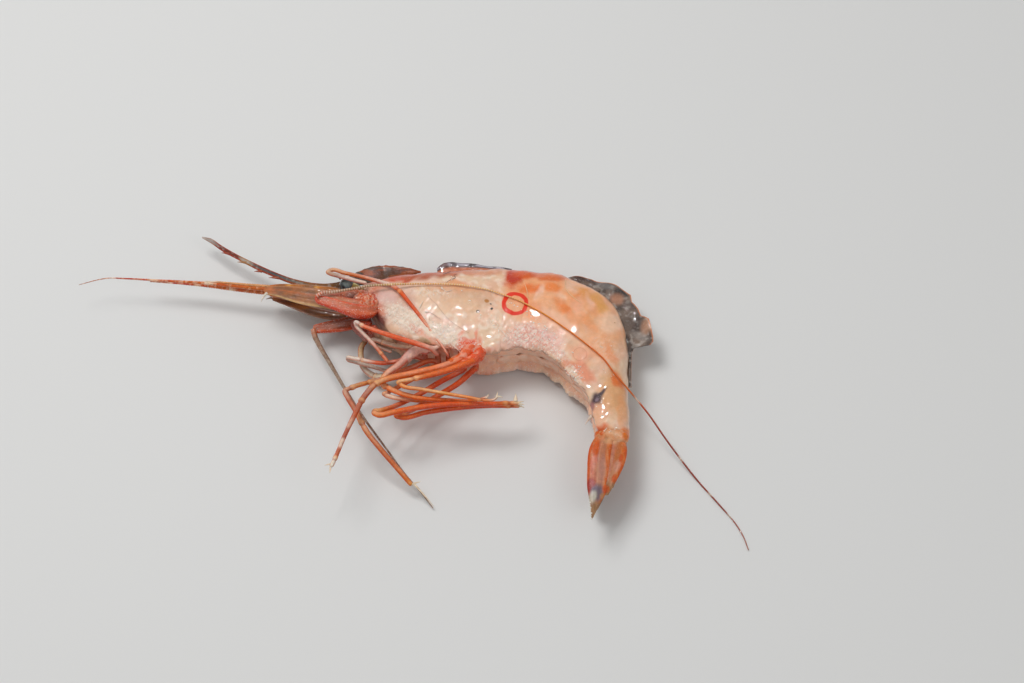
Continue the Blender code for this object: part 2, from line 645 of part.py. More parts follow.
def make_loose_shell():
    """Two films of clear shell that have lifted off the back: a strip, and a torn leaf at the bend."""
    strip = []
    for station in np.linspace(3.5, 6.05, 8):
        x, y, half_x, half_y, _, _ = body_at(station)[0]
        stretch = 1 + (GAP + 0.45) / np.hypot(half_x, half_y)
        strip.append((x + half_x * stretch, y + half_y * stretch, MID_HEIGHT + 0.3))
    blade("shell_film_back", strip, (0, 1, 0), (0.2, 0.42, 0.4, 0.4, 0.35, 0.15), (LEAF / 2,), CLEAR_FINISH)

    height = MID_HEIGHT + 0.1
    inner = []
    for station in np.linspace(*FILM_STATIONS, 13):
        x, y, half_x, half_y, _, _ = body_at(station)[0]
        near = 1 + 1.1 * GAP / np.hypot(half_x, half_y)
        inner.append((x + half_x * near, y + half_y * near, height))
    outer = [seen(*place, height) for place in FILM_EDGE]
    plate("shell_film_bend", inner + outer[::-1], (0, 0, LEAF), CLEAR_FINISH)


clear_scene()
SHRIMP = bpy.data.collections.new("plesionika_hsuehyui")
bpy.context.scene.collection.children.link(SHRIMP)
ROOT = bpy.data.objects.new("shrimp", None)
SHRIMP.objects.link(ROOT)

FLESH_FINISH = finish_of("wet_flesh", FLESH, 0.3)
SHELL_FINISH = finish_of("red_shell", SHELL_RED)
LIMB_FINISH = finish_of("leg_shell", LIMB_RED)
RED_FINISH = finish_of("antenna_shell", SHELL_RED)
AMBER_FINISH = finish_of("amber_shell", AMBER)
CLEAR_FINISH = finish_of("clear_shell", CLEAR_SHELL, 0.2)
EYE_FINISH = finish_of("eye", EYE_GREY, 0.1)

make_carapace()
make_rostrum()
make_eyes()
make_antennules()
make_scales()
make_antennae()
make_limbs()
make_leg_2_left()
make_breast()
make_mouth()
make_somites()
make_tail_fan()
make_swimmerets()
make_loose_shell()
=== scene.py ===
"""A small deep-water shrimp, Plesionika hsuehyui, lying dead on its right side with its tail curled under.

The head points to -X, the back to +Y and the left flank up. Shapes are worked out in millimetres, and a
mesh is stored in metres. Each piece is a closed skin: a grid of points with rows along the piece and
columns round it.
"""
from math import cos, pi, radians, sin

import bpy
import numpy as np
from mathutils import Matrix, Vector


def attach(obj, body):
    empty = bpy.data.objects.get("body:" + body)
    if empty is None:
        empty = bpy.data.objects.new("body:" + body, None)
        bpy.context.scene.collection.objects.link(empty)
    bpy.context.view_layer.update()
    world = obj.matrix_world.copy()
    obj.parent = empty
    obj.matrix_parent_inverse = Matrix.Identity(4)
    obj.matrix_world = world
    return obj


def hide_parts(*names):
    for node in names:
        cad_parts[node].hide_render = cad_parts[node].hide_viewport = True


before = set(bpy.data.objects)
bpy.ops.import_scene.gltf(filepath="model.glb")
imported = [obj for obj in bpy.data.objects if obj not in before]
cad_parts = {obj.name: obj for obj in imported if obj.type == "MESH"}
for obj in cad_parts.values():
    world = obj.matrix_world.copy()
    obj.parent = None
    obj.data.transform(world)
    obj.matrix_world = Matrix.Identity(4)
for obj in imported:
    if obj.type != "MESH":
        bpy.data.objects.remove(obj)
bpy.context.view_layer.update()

# Places on the animal are read as they are seen from above its belly side: a column and a row of a view
# 1024 by 683 pixels, and a height over the floor in millimetres. The camera stands where they are read
# from, and a pixel is PIXEL millimetres wide at the place on the floor that it looks at.
VIEW_WIDTH = 1024
VIEW_CENTRE = (512.0, 341.5)
PIXEL = 0.11
VIEW_PITCH = radians(58.0)
VIEW_DISTANCE = 500.0
LOOK_AT = (10.78, 7.06)
SENSOR_WIDTH = 36.0
CAMERA_HEIGHT = VIEW_DISTANCE * sin(VIEW_PITCH)
CAMERA_BACK = VIEW_DISTANCE * cos(VIEW_PITCH)


def seen(column, row, height):
    """The point at this height on the line of sight through a column and a row, any of them an array: the
    line is followed from the camera by the share of it that comes down to the height."""
    across = (np.asarray(column, float) - VIEW_CENTRE[0]) * PIXEL
    up = (VIEW_CENTRE[1] - np.asarray(row, float)) * PIXEL
    height = np.asarray(height, float)
    share = (CAMERA_HEIGHT - height) / (CAMERA_HEIGHT - up * cos(VIEW_PITCH))
    y = share * (CAMERA_BACK + up * sin(VIEW_PITCH)) - CAMERA_BACK
    return np.stack(np.broadcast_arrays(LOOK_AT[0] + share * across, LOOK_AT[1] + y, height), axis=-1)


def places(rows):
    """Points from rows of column, row and height."""
    return seen(*np.array(rows, float).T)


def seen_at(points):
    """The columns and rows of points, as the same view shows them: the other way round from seen()."""
    x, y, z = np.moveaxis(np.asarray(points, float), -1, 0)
    ahead = VIEW_DISTANCE + (y - LOOK_AT[1]) * cos(VIEW_PITCH) - z * sin(VIEW_PITCH)
    scale = VIEW_DISTANCE / ahead / PIXEL
    up = (y - LOOK_AT[1]) * sin(VIEW_PITCH) + z * cos(VIEW_PITCH)
    return VIEW_CENTRE[0] + (x - LOOK_AT[0]) * scale, VIEW_CENTRE[1] - up * scale


camera_data = bpy.data.cameras.new("camera")
camera_data.sensor_width = SENSOR_WIDTH
camera_data.lens = SENSOR_WIDTH * VIEW_DISTANCE / (VIEW_WIDTH * PIXEL)
camera_data.clip_start = 0.01
camera_data.clip_end = 10.0
camera = bpy.data.objects.new("camera", camera_data)
bpy.context.scene.collection.objects.link(camera)
sight = Vector((0.0, cos(VIEW_PITCH), -sin(VIEW_PITCH)))
camera.location = Vector((*LOOK_AT, 0.0)) * 0.001 - sight * VIEW_DISTANCE * 0.001
camera.rotation_euler = sight.to_track_quat("-Z", "Y").to_euler()
bpy.context.scene.camera = camera


# The body is one mass of flesh under thin shell, from the eye sockets to the joint of the tail fan. It is
# a skin over rings that follow the back's line and the shell's lower edge, with the belly's hollow below.
# Its mid plane stands MID_HEIGHT over the floor, and sizes are in millimetres or shares of the half width.
MID_HEIGHT = 3.2
EDGE_SHARE = 0.68
SHELL_WALL = 0.6
CROWN_POWER = 0.75
SILHOUETTE_RISE = 1.0
HOLLOW_SHARE = 0.42
STEPS_TO_FLANK = 14

# Stations from the orbit to the tail fan: the back's column and row, the column and row of the lower edge
# of the left shell, half the width of the body, and how deep the hollow under it is. The carapace reaches
# from station 0 to 6, and each ring of the tail takes the length of one more.
STATIONS = (
    (357, 283.0, 384, 327.0, 2.05, 0.5),
    (375, 279.0, 392, 333.5, 2.50, 0.9),
    (400, 274.5, 410, 339.5, 2.90, 1.5),
    (426, 272.0, 431, 345.0, 3.15, 1.9),
    (452, 270.5, 454, 349.5, 3.32, 2.0),
    (480, 269.0, 479, 353.0, 3.38, 2.0),
    (507, 268.5, 500, 352.0, 3.38, 2.0),
    (535, 271.5, 517, 348.5, 3.38, 2.1),
    (566, 276.0, 541, 352.5, 3.35, 2.1),
    (611, 300.0, 559, 364.0, 3.15, 2.0),
    (627, 337.0, 572, 379.5, 2.75, 1.7),
    (628.5, 372.0, 586, 393.0, 2.30, 1.1),
    (630, 434.0, 597, 431.0, 1.80, 0.3),
)


def smooth_through(rows, at, where):
    """Rows read off a smooth curve through them: a cubic between each two, which keeps the slopes at both.
    `at` holds each row's own place, and `where` the wanted ones."""
    slopes = np.gradient(rows, at, axis=0)
    before = np.clip(np.searchsorted(at, where, side="right") - 1, 0, len(at) - 2)
    after = before + 1
    span = (at[after] - at[before])[:, None]
    t = (where - at[before])[:, None] / span
    start = (2 * t**3 - 3 * t**2 + 1) * rows[before] + (t**3 - 2 * t**2 + t) * span * slopes[before]
    return start + (3 * t**2 - 2 * t**3) * rows[after] + (t**3 - t**2) * span * slopes[after]


stations = np.array(STATIONS)
back_line = seen(stations[:, 0], stations[:, 1], MID_HEIGHT + SILHOUETTE_RISE)
edge_line = seen(stations[:, 2], stations[:, 3], MID_HEIGHT + EDGE_SHARE * stations[:, 4])
body_middle = ((back_line + edge_line) / 2)[:, :2]
body_half_depth = ((back_line - edge_line) / 2)[:, :2]
BODY = np.column_stack([body_middle, body_half_depth, stations[:, 4:]])
LAST_STATION = len(BODY) - 1


def body_at(station):
    """Centre x and y, half depth towards the back as x and y, half width and hollow, at station numbers."""
    return smooth_through(BODY, np.arange(len(BODY), dtype=float), np.atleast_1d(np.asarray(station, float)))


def half_width_at(share, half_width):
    """How far the flank stands from the mid plane: a sine power over the back, a slower sine to the edge."""
    upper = half_width * np.sin(pi * np.minimum(share, 0.5)) ** CROWN_POWER
    edge = EDGE_SHARE * half_width
    lower = edge + (half_width - edge) * np.sin(pi * np.maximum(share, 0.5))
    return np.where(share <= 0.5, upper, lower)


fine_body = body_at(np.linspace(0, LAST_STATION, 145))
fine_depth = np.hypot(fine_body[:, 2], fine_body[:, 3])
fine_back = fine_body[:, 2:4] / fine_depth[:, None]


def flank_height(x, y):
    """The height of the left flank over places on the floor, or the middle height off the body."""
    off = np.stack([x, y], axis=-1)[:, None] - fine_body[None, :, :2]
    deep = (off * fine_back).sum(-1)
    sideways = np.abs(off[..., 0] * fine_back[:, 1] - off[..., 1] * fine_back[:, 0])
    nearest = np.argmin(sideways + 10.0 * (np.abs(deep) > fine_depth), axis=1)
    pick = np.arange(len(nearest))
    share = np.arccos(np.clip(deep[pick, nearest] / fine_depth[nearest], -1, 1)) / pi
    return MID_HEIGHT + half_width_at(share, fine_body[nearest, 4])


def on_flank(rows):
    """Points from rows of column, row and lift over the left flank, found by stepping to the right height."""
    column, row, lift = np.array(rows, float).T
    height = np.full(len(column), 2 * MID_HEIGHT)
    for _ in range(STEPS_TO_FLANK):
        point = seen(column, row, height)
        height = 0.5 * height + 0.5 * (flank_height(point[:, 0], point[:, 1]) + lift)
    return seen(column, row, height)


def ease(low, high, value):
    """Nought below the low value, one above the high one, and a soft step between."""
    t = np.clip((value - low) / (high - low), 0, 1)
    return t * t * (3 - 2 * t)


WAVES = 30


def cloud(points, size, seed):
    """Soft blotches about this many millimetres wide, from 0 to 1: the sum of sine waves in directions drawn
    from the seed, pressed between two limits by a tanh."""
    draw = np.random.default_rng(seed)
    ways = draw.normal(size=(WAVES, 3))
    ways *= (pi / size * draw.uniform(0.6, 1.7, WAVES) / np.linalg.norm(ways, axis=1))[:, None]
    waves = np.sin(points @ ways.T + draw.uniform(0, 2 * pi, WAVES)).sum(-1) / (WAVES / 2) ** 0.5
    return 0.5 + 0.5 * np.tanh(waves)


def tint(red, green, blue):
    """A colour from its eight-bit screen values, as the linear numbers a shader takes."""
    value = np.array([red, green, blue]) / 255
    return np.where(value <= 0.04045, value / 12.92, ((value + 0.055) / 1.055) ** 2.4)


def lay(paint, colour, share):
    """Paint covered by a colour, as far as the share from 0 to 1 says. Each of the three may be one value,
    a row along the piece, a row round it or a whole grid."""
    share = np.clip(share, 0, 1)[..., None]
    return paint * (1 - share) + colour * share


def oval(at, column, row, long, wide, turn=0.0, soft=0.45):
    """One inside an oval patch of seen places, nought outside, by the distance from its middle in shares of
    the half sizes; a turn in degrees and a soft rim."""
    ahead, aside = cos(radians(turn)), sin(radians(turn))
    along = (at[0] - column) * ahead + (at[1] - row) * aside
    across = (at[1] - row) * ahead - (at[0] - column) * aside
    return ease(1 + soft, 1 - soft, np.hypot(along / long, across / wide))


def patched(paint, at, patches, soft=0.45, share=1.0):
    """Paint with oval patches laid over it, one after another: each one's column and row, half sizes, turn,
    screen colour and how fully it covers."""
    for column, row, long, wide, turn, colour, cover in patches:
        paint = lay(paint, tint(*colour), cover * oval(at, column, row, long, wide, turn, soft) * share)
    return paint


def carried(path, radii, sides=16, flat=1.0, spacing=0.12, tip=0.0):
    """Rings round a smooth path through the points: ovals `flat` times as thick as they are wide. Over the
    last share `tip` of the length they close to a round end."""
    path = np.asarray(path, float)
    at = np.concatenate([[0.0], np.cumsum(np.linalg.norm(np.diff(path, axis=0), axis=1))])
    along = np.linspace(0, at[-1], max(8, int(at[-1] / spacing)))
    spine = smooth_through(path, at, along)
    length = along / at[-1]
    radius = np.interp(length, np.linspace(0, 1, len(radii)), radii)
    if tip:
        radius *= 0.06 + 0.94 * np.sqrt(1 - np.clip((length - 1 + tip) / tip, 0, 1) ** 2)
    ahead = np.gradient(spine, axis=0)
    ahead /= np.linalg.norm(ahead, axis=1)[:, None]
    across = np.cross(ahead, (0.04, 0.03, 1.0))
    across /= np.linalg.norm(across, axis=1)[:, None]
    up = np.cross(across, ahead)
    turn = np.linspace(0, 2 * pi, sides, endpoint=False)[None, :, None]
    rings = spine[:, None] + radius[:, None, None] * (
        np.cos(turn) * across[:, None] + flat * np.sin(turn) * up[:, None]
    )
    return rings, length


def add_piece(name, skins, finish, slot, *nodes):
    """One object from closed skins of (points, paint, grain). A skin's grid becomes quads between each ring
    and the next and a fan of triangles at both ends, turned over if the volume inside comes out negative."""
    points, faces, corners, paints, grains = [], [], [], [], []
    count = 0
    for rings, paint, grain in skins:
        ring_count, sides = rings.shape[:2]
        paint = np.broadcast_to(paint, (ring_count, sides, 3))
        grain = np.broadcast_to(grain, (ring_count, sides))
        ring, side = (part.ravel() for part in np.mgrid[: ring_count - 1, :sides])
        this_ring, next_ring, beside = ring * sides, (ring + 1) * sides, (side + 1) % sides
        quads = np.stack([this_ring + side, this_ring + beside, next_ring + beside, next_ring + side], axis=1)
        quad_corners = np.stack([ring, side, ring, side + 1, ring + 1, side + 1, ring + 1, side], axis=1)
        quad_corners = quad_corners.reshape(-1, 4, 2) / (ring_count - 1.0, sides)
        side = np.arange(sides)
        beside = (side + 1) % sides
        last_ring = (ring_count - 1) * sides
        first_pole = np.full(sides, ring_count * sides)
        first = np.stack([first_pole, beside, side], axis=1)
        last = np.stack([first_pole + 1, last_ring + side, last_ring + beside], axis=1)
        fan = np.stack([side + 0.5, side + 1, side], axis=1) / sides
        first_corners = np.stack([np.zeros((sides, 3)), fan], axis=2)
        last_corners = np.stack([np.ones((sides, 3)), fan[:, [0, 2, 1]]], axis=2)
        place = np.concatenate([rings.reshape(-1, 3), rings[[0, -1]].mean(1)])
        halves = np.concatenate([quads[:, :3], quads[:, [0, 2, 3]], first, last])
        corner = place[halves] - place.mean(0)
        volume = np.einsum("ij,ij->", corner[:, 0], np.cross(corner[:, 1], corner[:, 2]))
        turn = slice(None, None, -1 if volume < 0 else 1)
        for group, group_corners in ((quads, quad_corners), (first, first_corners), (last, last_corners)):
            faces += (group[:, turn] + count).tolist()
            corners.append(group_corners[:, turn].reshape(-1, 2))
        points.append(place)
        paints.append(np.concatenate([paint.reshape(-1, 3), paint[[0, -1]].mean(1)]))
        grains.append(np.concatenate([grain.ravel(), grain[[0, -1]].mean(1)]))
        count += len(place)
    mesh = bpy.data.meshes.new(name)
    mesh.from_pydata(np.concatenate(points) * 0.001, [], faces)
    mesh.uv_layers.new(name="along_and_round").data.foreach_set("uv", np.concatenate(corners).ravel())
    paint = mesh.attributes.new("paint", "FLOAT_COLOR", "POINT")
    paint.data.foreach_set("color", np.column_stack([np.concatenate(paints), np.ones(count)]).ravel())
    mesh.attributes.new("grain", "FLOAT", "POINT").data.foreach_set("value", np.concatenate(grains))
    mesh.shade_smooth()
    mesh.materials.append(finish)
    piece = bpy.data.objects.new(name, mesh)
    bpy.context.scene.collection.objects.link(piece)
    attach(piece, "root")
    if nodes:
        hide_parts(*nodes)
    return piece


# The colour of the pale flecks, which are partly froth and partly painted glints, their size in millimetres,
# and the depth of the bumps in metres.
FROTH_AND_GLINT_FLECK = (0.93, 0.84, 0.78)
FLECK_SIZE = 0.13
RELIEF = 0.00012


def add_node(material, kind, operation=None, second=None, **values):
    """A node of this kind in the material, with its operation, its second value and these named sockets set;
    an underscore stands for a space in a socket's name."""
    node = material.node_tree.nodes.new(f"ShaderNode{kind}")
    if operation:
        node.operation = operation
    if second is not None:
        node.inputs[1].default_value = second
    for socket, value in values.items():
        node.inputs[socket.replace("_", " ")].default_value = value
    return node


def covered(material, paint_socket, colour, share_socket):
    """A socket that gives the paint under a colour, as far as the share says."""
    mix = add_node(material, "Mix")
    mix.data_type = "RGBA"
    mix.inputs["B"].default_value = (*colour, 1.0)
    material.node_tree.links.new(share_socket, mix.inputs["Factor"])
    material.node_tree.links.new(paint_socket, mix.inputs["A"])
    return mix.outputs["Result"]


def wet_finish(name, mottle=0.15, mottle_size=0.4, bump=0.4, bump_size=0.2, glint_flecks=0.0, roughness=0.3,
               soft=0.1, coat=0.7, alpha=1.0, vivid=1.3, bright=1.0):
    """Paint, made lighter and darker by noise, over bumps that the grain brings out, with pale flecks where
    there is grain, partly froth and partly painted glints, under a clear wet coat that follows the bumps.
    The sizes are in millimetres."""
    material = bpy.data.materials.new(name)
    material.use_nodes = True
    shader = material.node_tree.nodes["Principled BSDF"]
    where = add_node(material, "TexCoord").outputs["Object"]
    paint, grain = add_node(material, "Attribute"), add_node(material, "Attribute")
    paint.attribute_name, grain.attribute_name = "paint", "grain"
    clouds = add_node(material, "TexNoise", Scale=1000.0 / mottle_size, Detail=3.0)
    darkest, lightest = bright * (1.0 - mottle), bright * (1.0 + mottle)
    level = add_node(material, "MapRange", From_Min=0.3, From_Max=0.7, To_Min=darkest, To_Max=lightest)
    shaded = add_node(material, "HueSaturation", Saturation=vivid)
    # Pale flecks where there is grain: partly froth, partly painted glints.
    glint_specks = add_node(material, "TexNoise", Scale=1000.0 / FLECK_SIZE, Detail=1.0)
    cut = add_node(material, "MapRange", From_Min=0.60, From_Max=0.70, To_Max=glint_flecks)
    share = add_node(material, "Math", "MULTIPLY")
    colour = covered(material, shaded.outputs["Color"], FROTH_AND_GLINT_FLECK, share.outputs["Value"])
    bumps = add_node(material, "TexNoise", Scale=1000.0 / bump_size, Detail=2.0)
    strength = add_node(material, "Math", "MULTIPLY", bump)
    relief = add_node(material, "Bump", Distance=RELIEF)
    for start, end in (
        (where, clouds.inputs["Vector"]), (where, bumps.inputs["Vector"]), (where, glint_specks.inputs["Vector"]),
        (clouds.outputs["Fac"], level.inputs["Value"]), (level.outputs["Result"], shaded.inputs["Value"]),
        (paint.outputs["Color"], shaded.inputs["Color"]), (glint_specks.outputs["Fac"], cut.inputs["Value"]),
        (cut.outputs["Result"], share.inputs[0]), (grain.outputs["Fac"], share.inputs[1]),
        (colour, shader.inputs["Base Color"]), (grain.outputs["Fac"], strength.inputs[0]),
        (strength.outputs["Value"], relief.inputs["Strength"]),
        (bumps.outputs["Fac"], relief.inputs["Height"]), (relief.outputs["Normal"], shader.inputs["Normal"]),
        (relief.outputs["Normal"], shader.inputs["Coat Normal"]),
    ):
        material.node_tree.links.new(start, end)
    for socket, value in {
        "Roughness": roughness, "Subsurface Weight": soft, "Subsurface Radius": (1.0, 0.45, 0.3),
        "Subsurface Scale": 0.0005, "Specular IOR Level": 0.25, "Coat Weight": coat, "Coat Roughness": 0.035,
        "Alpha": alpha,
    }.items():
        shader.inputs[socket].default_value = value
    return material


# The skin's grid: its rings, and the points round both flanks and across the roof of the hollow. Then, in
# millimetres, the step at the end of a tail ring, how deep the skin lies under the body's own line, its
# least height and the half width that turns these into shares. A lobe is drawn in by a share of the depth.
BODY_RINGS = 400
FLANK_POINTS = 168
ROOF_POINTS = 34
RING_STEP = 0.035
SKIN_DEPTH = 0.05
LOWEST = 0.02
USUAL_HALF_WIDTH = 3.3
LOBE = 0.05

# Paint and marks of the flanks, as the left one is seen, in the order in which they are laid: an oval's
# column and row, half sizes and turn, its screen colour and how fully it covers.
PATCHES = (
    (462, 296, 32, 13, 5, (212, 168, 138), 0.65), (392, 302, 24, 18, 0, (200, 150, 130), 0.75),
    (402, 277, 30, 5.5, -6, (200, 62, 16), 0.9), (444, 272.5, 28, 3.5, -2, (196, 84, 40), 0.75),
    (424, 276.5, 28, 3, -3, (170, 92, 58), 0.65), (484, 272, 22, 4, 0, (222, 140, 104), 0.55),
    (456, 284, 13, 4, 5, (234, 158, 110), 0.6), (426, 281, 14, 3.5, -5, (236, 196, 176), 0.5),
    (380, 284, 12, 5, -15, (206, 128, 100), 0.7), (373, 305, 12, 16, 0, (206, 96, 66), 0.9),
    (386, 297, 12, 7, -8, (222, 186, 176), 0.85), (398, 290, 20, 5, 8, (238, 206, 190), 0.5),
    (381, 321, 6, 6, 20, (140, 78, 72), 0.9), (405, 318, 24, 11, 32, (233, 212, 192), 0.7),
    (440, 334, 24, 10, 30, (236, 214, 192), 0.7), (452, 288, 26, 4, 4, (230, 168, 128), 0.45),
    (430, 303, 14, 8, 20, (236, 202, 174), 0.6), (462, 305, 20, 9, 10, (236, 196, 162), 0.6),
    (424, 342, 6, 3, 20, (160, 132, 92), 0.7), (418, 331, 9, 3, 40, (230, 146, 122), 0.6),
    (432, 340, 8, 3, 35, (228, 140, 112), 0.5), (446, 350, 16, 5, 15, (226, 134, 106), 0.6),
    (466, 347, 11, 7, -30, (228, 96, 66), 0.75), (477, 336, 6, 2, -80, (232, 84, 50), 0.5),
    (473, 345, 6, 4, -50, (230, 84, 50), 0.6), (462, 334, 5, 2.4, -50, (228, 110, 80), 0.5),
    (482, 354, 14, 4, -25, (224, 120, 96), 0.6), (492, 318, 14, 9, 10, (238, 196, 168), 0.5),
    (545, 300, 42, 26, 12, (242, 172, 128), 0.8), (556, 322, 26, 9, 35, (246, 200, 172), 0.7),
    (513, 277, 8.5, 10, 20, (192, 40, 4), 0.95), (526, 273, 13, 5, 8, (220, 92, 52), 0.85),
    (550, 276, 28, 4.5, 3, (216, 96, 40), 0.75), (530, 289, 11, 5, 0, (236, 116, 60), 0.7),
    (539, 293, 4, 7, 30, (246, 206, 184), 0.7), (553, 287, 9, 4, 15, (238, 132, 72), 0.7),
    (560, 297, 7, 5, 25, (248, 204, 176), 0.75), (566, 309, 8, 3.5, 45, (232, 116, 60), 0.7),
    (581, 312, 6, 4, 0, (246, 200, 166), 0.7), (576, 296, 4, 6, 10, (234, 140, 72), 0.65),
    (548, 299, 11, 9, 0, (242, 182, 142), 0.75), (534, 310, 7, 8, 10, (240, 156, 114), 0.55),
    (571, 287, 8, 6, 20, (240, 196, 168), 0.8), (578, 305, 6, 9, -20, (241, 178, 146), 0.7),
    (584, 291, 9, 4, 25, (228, 156, 88), 0.65), (590, 301, 4, 8, -12, (240, 188, 162), 0.75),
    (598, 300, 9, 5, 40, (226, 160, 88), 0.7), (604, 308, 6, 5, 30, (230, 170, 106), 0.7),
    (562, 306, 12, 5, 40, (238, 146, 92), 0.6), (588, 322, 13, 5, 50, (240, 156, 104), 0.5),
    (574, 318, 8, 6, 30, (240, 170, 130), 0.6), (611, 323, 13, 10, 10, (246, 204, 174), 0.9),
    (598, 346, 17, 11, 55, (244, 184, 146), 0.7), (612, 356, 12, 5, 60, (236, 146, 98), 0.6),
    (533, 337, 28, 12, 8, (230, 166, 150), 0.8), (512, 345, 16, 6, -5, (234, 186, 172), 0.6),
    (556, 352, 10, 5, 20, (232, 172, 156), 0.6), (580, 354, 13, 8, 40, (240, 170, 138), 0.6),
    (584, 372, 13, 7, 50, (232, 134, 102), 0.7), (570, 364, 8, 4, 40, (218, 96, 64), 0.5),
    (612, 392, 13, 22, 0, (218, 162, 114), 0.85), (617, 381, 9, 4, 60, (228, 118, 66), 0.75),
    (600, 412, 8, 12, 0, (232, 168, 132), 0.6), (622, 410, 5, 16, 0, (228, 156, 104), 0.6),
    (601, 430, 9, 5, -15, (222, 104, 56), 0.85), (625, 432, 5, 4, 0, (238, 128, 56), 0.85),
    (613, 430, 9, 3, 0, (240, 190, 150), 0.6), (597, 399, 6.4, 5.2, -30, (70, 46, 52), 1.0),
    (603, 393.5, 6, 2.2, -45, (66, 44, 48), 1.0), (597.5, 399.5, 2.2, 1.8, 0, (150, 128, 138), 0.7),
    (592, 406, 3, 5, 0, (146, 92, 96), 0.8), (480, 344, 3, 7, 15, (232, 74, 36), 0.5),
    (467, 344, 8, 5, 20, (232, 84, 44), 0.55),
)

# Where the surface is coarse and glints: column, row, half sizes, turn and how coarse.
FROTH = (
    (405, 318, 24, 11, 32, 1.0), (442, 333, 26, 9, 30, 1.0), (530, 337, 30, 12, 8, 1.0),
    (555, 352, 12, 6, 20, 0.9), (430, 292, 20, 5, 5, 0.6), (498, 325, 14, 7, 40, 0.7),
    (365, 304, 14, 14, 0, 0.8), (575, 375, 12, 6, 50, 0.8), (610, 436, 16, 5, 0, 0.5),
    (470, 348, 16, 7, -20, 0.6), (604, 350, 16, 12, 60, 0.25),
)
SHELL_COLOUR = tint(234, 200, 170)
PALE = tint(250, 234, 218)
PINK = tint(229, 176, 154)
ORANGE = tint(238, 164, 116)
LIGHT_ORANGE = tint(242, 190, 150)
BACK_BAND = tint(178, 106, 72)
BACK_RIDGE = tint(142, 72, 50)
BELLY = tint(246, 196, 164)
BELLY_DEEP = tint(238, 176, 148)
EDGE_RED = tint(206, 92, 62)

place = np.linspace(0.0, LAST_STATION, BODY_RINGS)
x, y, half_x, half_y, half_width, hollow = (part[:, None] for part in body_at(place).T)
station = place[:, None]
half_depth = np.hypot(half_x, half_y)
turned = np.linspace(-1.0, 1.0, FLANK_POINTS + 1)[None, :]
share = np.abs(turned)

# Past the carapace each ring of the tail ends in a low step over the next, and its lower edge is a lobe.
phase = np.mod(station, 1.0)
in_tail = ease(5.97, 6.03, station)
step = in_tail * (ease(0.0, 0.9, phase) - ease(0.9, 1.0, phase)) * RING_STEP
step += ease(5.2, 5.97, station) * (1 - in_tail) * 0.01
lobe = in_tail * LOBE * (1 - np.sin(np.clip(0.06 + 0.88 * phase, 0, 1) * pi)) * ease(12.0, 11.7, station)
depth = half_depth * np.cos(pi * share) * (1 - lobe * np.maximum(2 * share - 1, 0) ** 2)
side = np.sign(-turned) * half_width_at(share, half_width)
inner = EDGE_SHARE * half_width - SHELL_WALL
roof_turn = np.linspace(-1, 1, ROOF_POINTS + 2)[None, 1:-1]
roof_depth = depth[:, -1:] + (0.1 + 0.9 * (1 - roof_turn**4) ** 0.8) * HOLLOW_SHARE * hollow
all_depth = np.concatenate([depth, roof_depth], axis=1)
all_side = np.concatenate([side, inner * roof_turn], axis=1)
on_flanks = np.concatenate([np.ones_like(share), np.zeros_like(roof_turn)], axis=1)
out = 1 + (step - SKIN_DEPTH) * on_flanks / USUAL_HALF_WIDTH
round_front = 0.5 + 0.5 * np.sqrt(1 - (1 - np.clip(station / 0.5, 0, 1)) ** 2)
round_front *= 0.8 + 0.2 * np.sqrt(1 - np.clip((station - 11.85) / 0.15, 0, 1) ** 2)
out = out * round_front
towards_back = all_depth / half_depth * out
body = np.stack([x + half_x * towards_back, y + half_y * towards_back, MID_HEIGHT + all_side * out], axis=-1)

on_back = np.concatenate([np.broadcast_to(share, depth.shape), np.ones_like(roof_depth)], axis=1)
in_hollow = np.concatenate([np.zeros_like(depth), np.ones_like(roof_depth)], axis=1)
upper = np.where(in_hollow > 0.5, body[..., 2], MID_HEIGHT + np.abs(body[..., 2] - MID_HEIGHT))
at = seen_at(np.stack([body[..., 0], body[..., 1], upper], axis=-1))
wave = [3.0 * (cloud(body * (1, 1, 0.2), 0.9, seed) - 0.5) for seed in (15, 16)]
at = (at[0] + wave[0], at[1] + wave[1])
froth = np.zeros_like(at[0])
for column, row, long, wide, turn, coarse in FROTH:
    froth = np.maximum(froth, coarse * oval(at, column, row, long, wide, turn, 0.6) * (1 - 0.5 * in_hollow))
lumps = (cloud(body, 1.6, 3) - 0.5) * 0.10 + (cloud(body, 0.7, 4) - 0.5) * 0.05
lumps += (cloud(body, 0.3, 6) - 0.5) * 0.13 * froth
beads = np.concatenate([ease(0.92, 1.0, share), ease(0.8, 1.0, np.abs(roof_turn))], axis=1)
lumps += (cloud(body, 0.24, 5) - 0.5) * 0.14 * beads + (cloud(body, 0.8, 7) - 0.5) * 0.16 * in_hollow
middle = np.stack(np.broadcast_arrays(x, y, MID_HEIGHT), axis=-1)
away = body - middle
away /= np.linalg.norm(away, axis=-1)[..., None]
body += away * lumps[..., None]
body[..., 2] = np.maximum(body[..., 2], LOWEST)

broad, fine = cloud(body, 1.3, 11), cloud(body, 0.5, 12)
pleon = ease(5.9, 6.3, station)
paint = lay(SHELL_COLOUR, PINK, 0.45 * broad)
paint = lay(paint, PALE, 0.5 * ease(0.55, 0.9, fine) * (1 - 0.6 * pleon))
paint = lay(paint, BACK_BAND, 0.85 * ease(0.30, 0.12, on_back + 0.06 * broad) * ease(6.1, 5.6, station))
paint = lay(paint, ORANGE, 0.85 * pleon * ease(0.75, 0.45, on_back + 0.1 * broad) * ease(10.8, 9.6, station))
light = ease(0.4, 0.8, cloud(body, 0.9, 13)) * ease(10.8, 10.0, station)
paint = lay(paint, LIGHT_ORANGE, 0.4 * pleon * light)
paint = patched(paint, at, PATCHES, share=1 - 0.7 * in_hollow)
paint = lay(paint, BACK_RIDGE, 0.75 * ease(0.10, 0.01, on_back + 0.04 * broad) * ease(11.6, 9.5, station))
paint = lay(paint, BELLY, 0.85 * in_hollow)
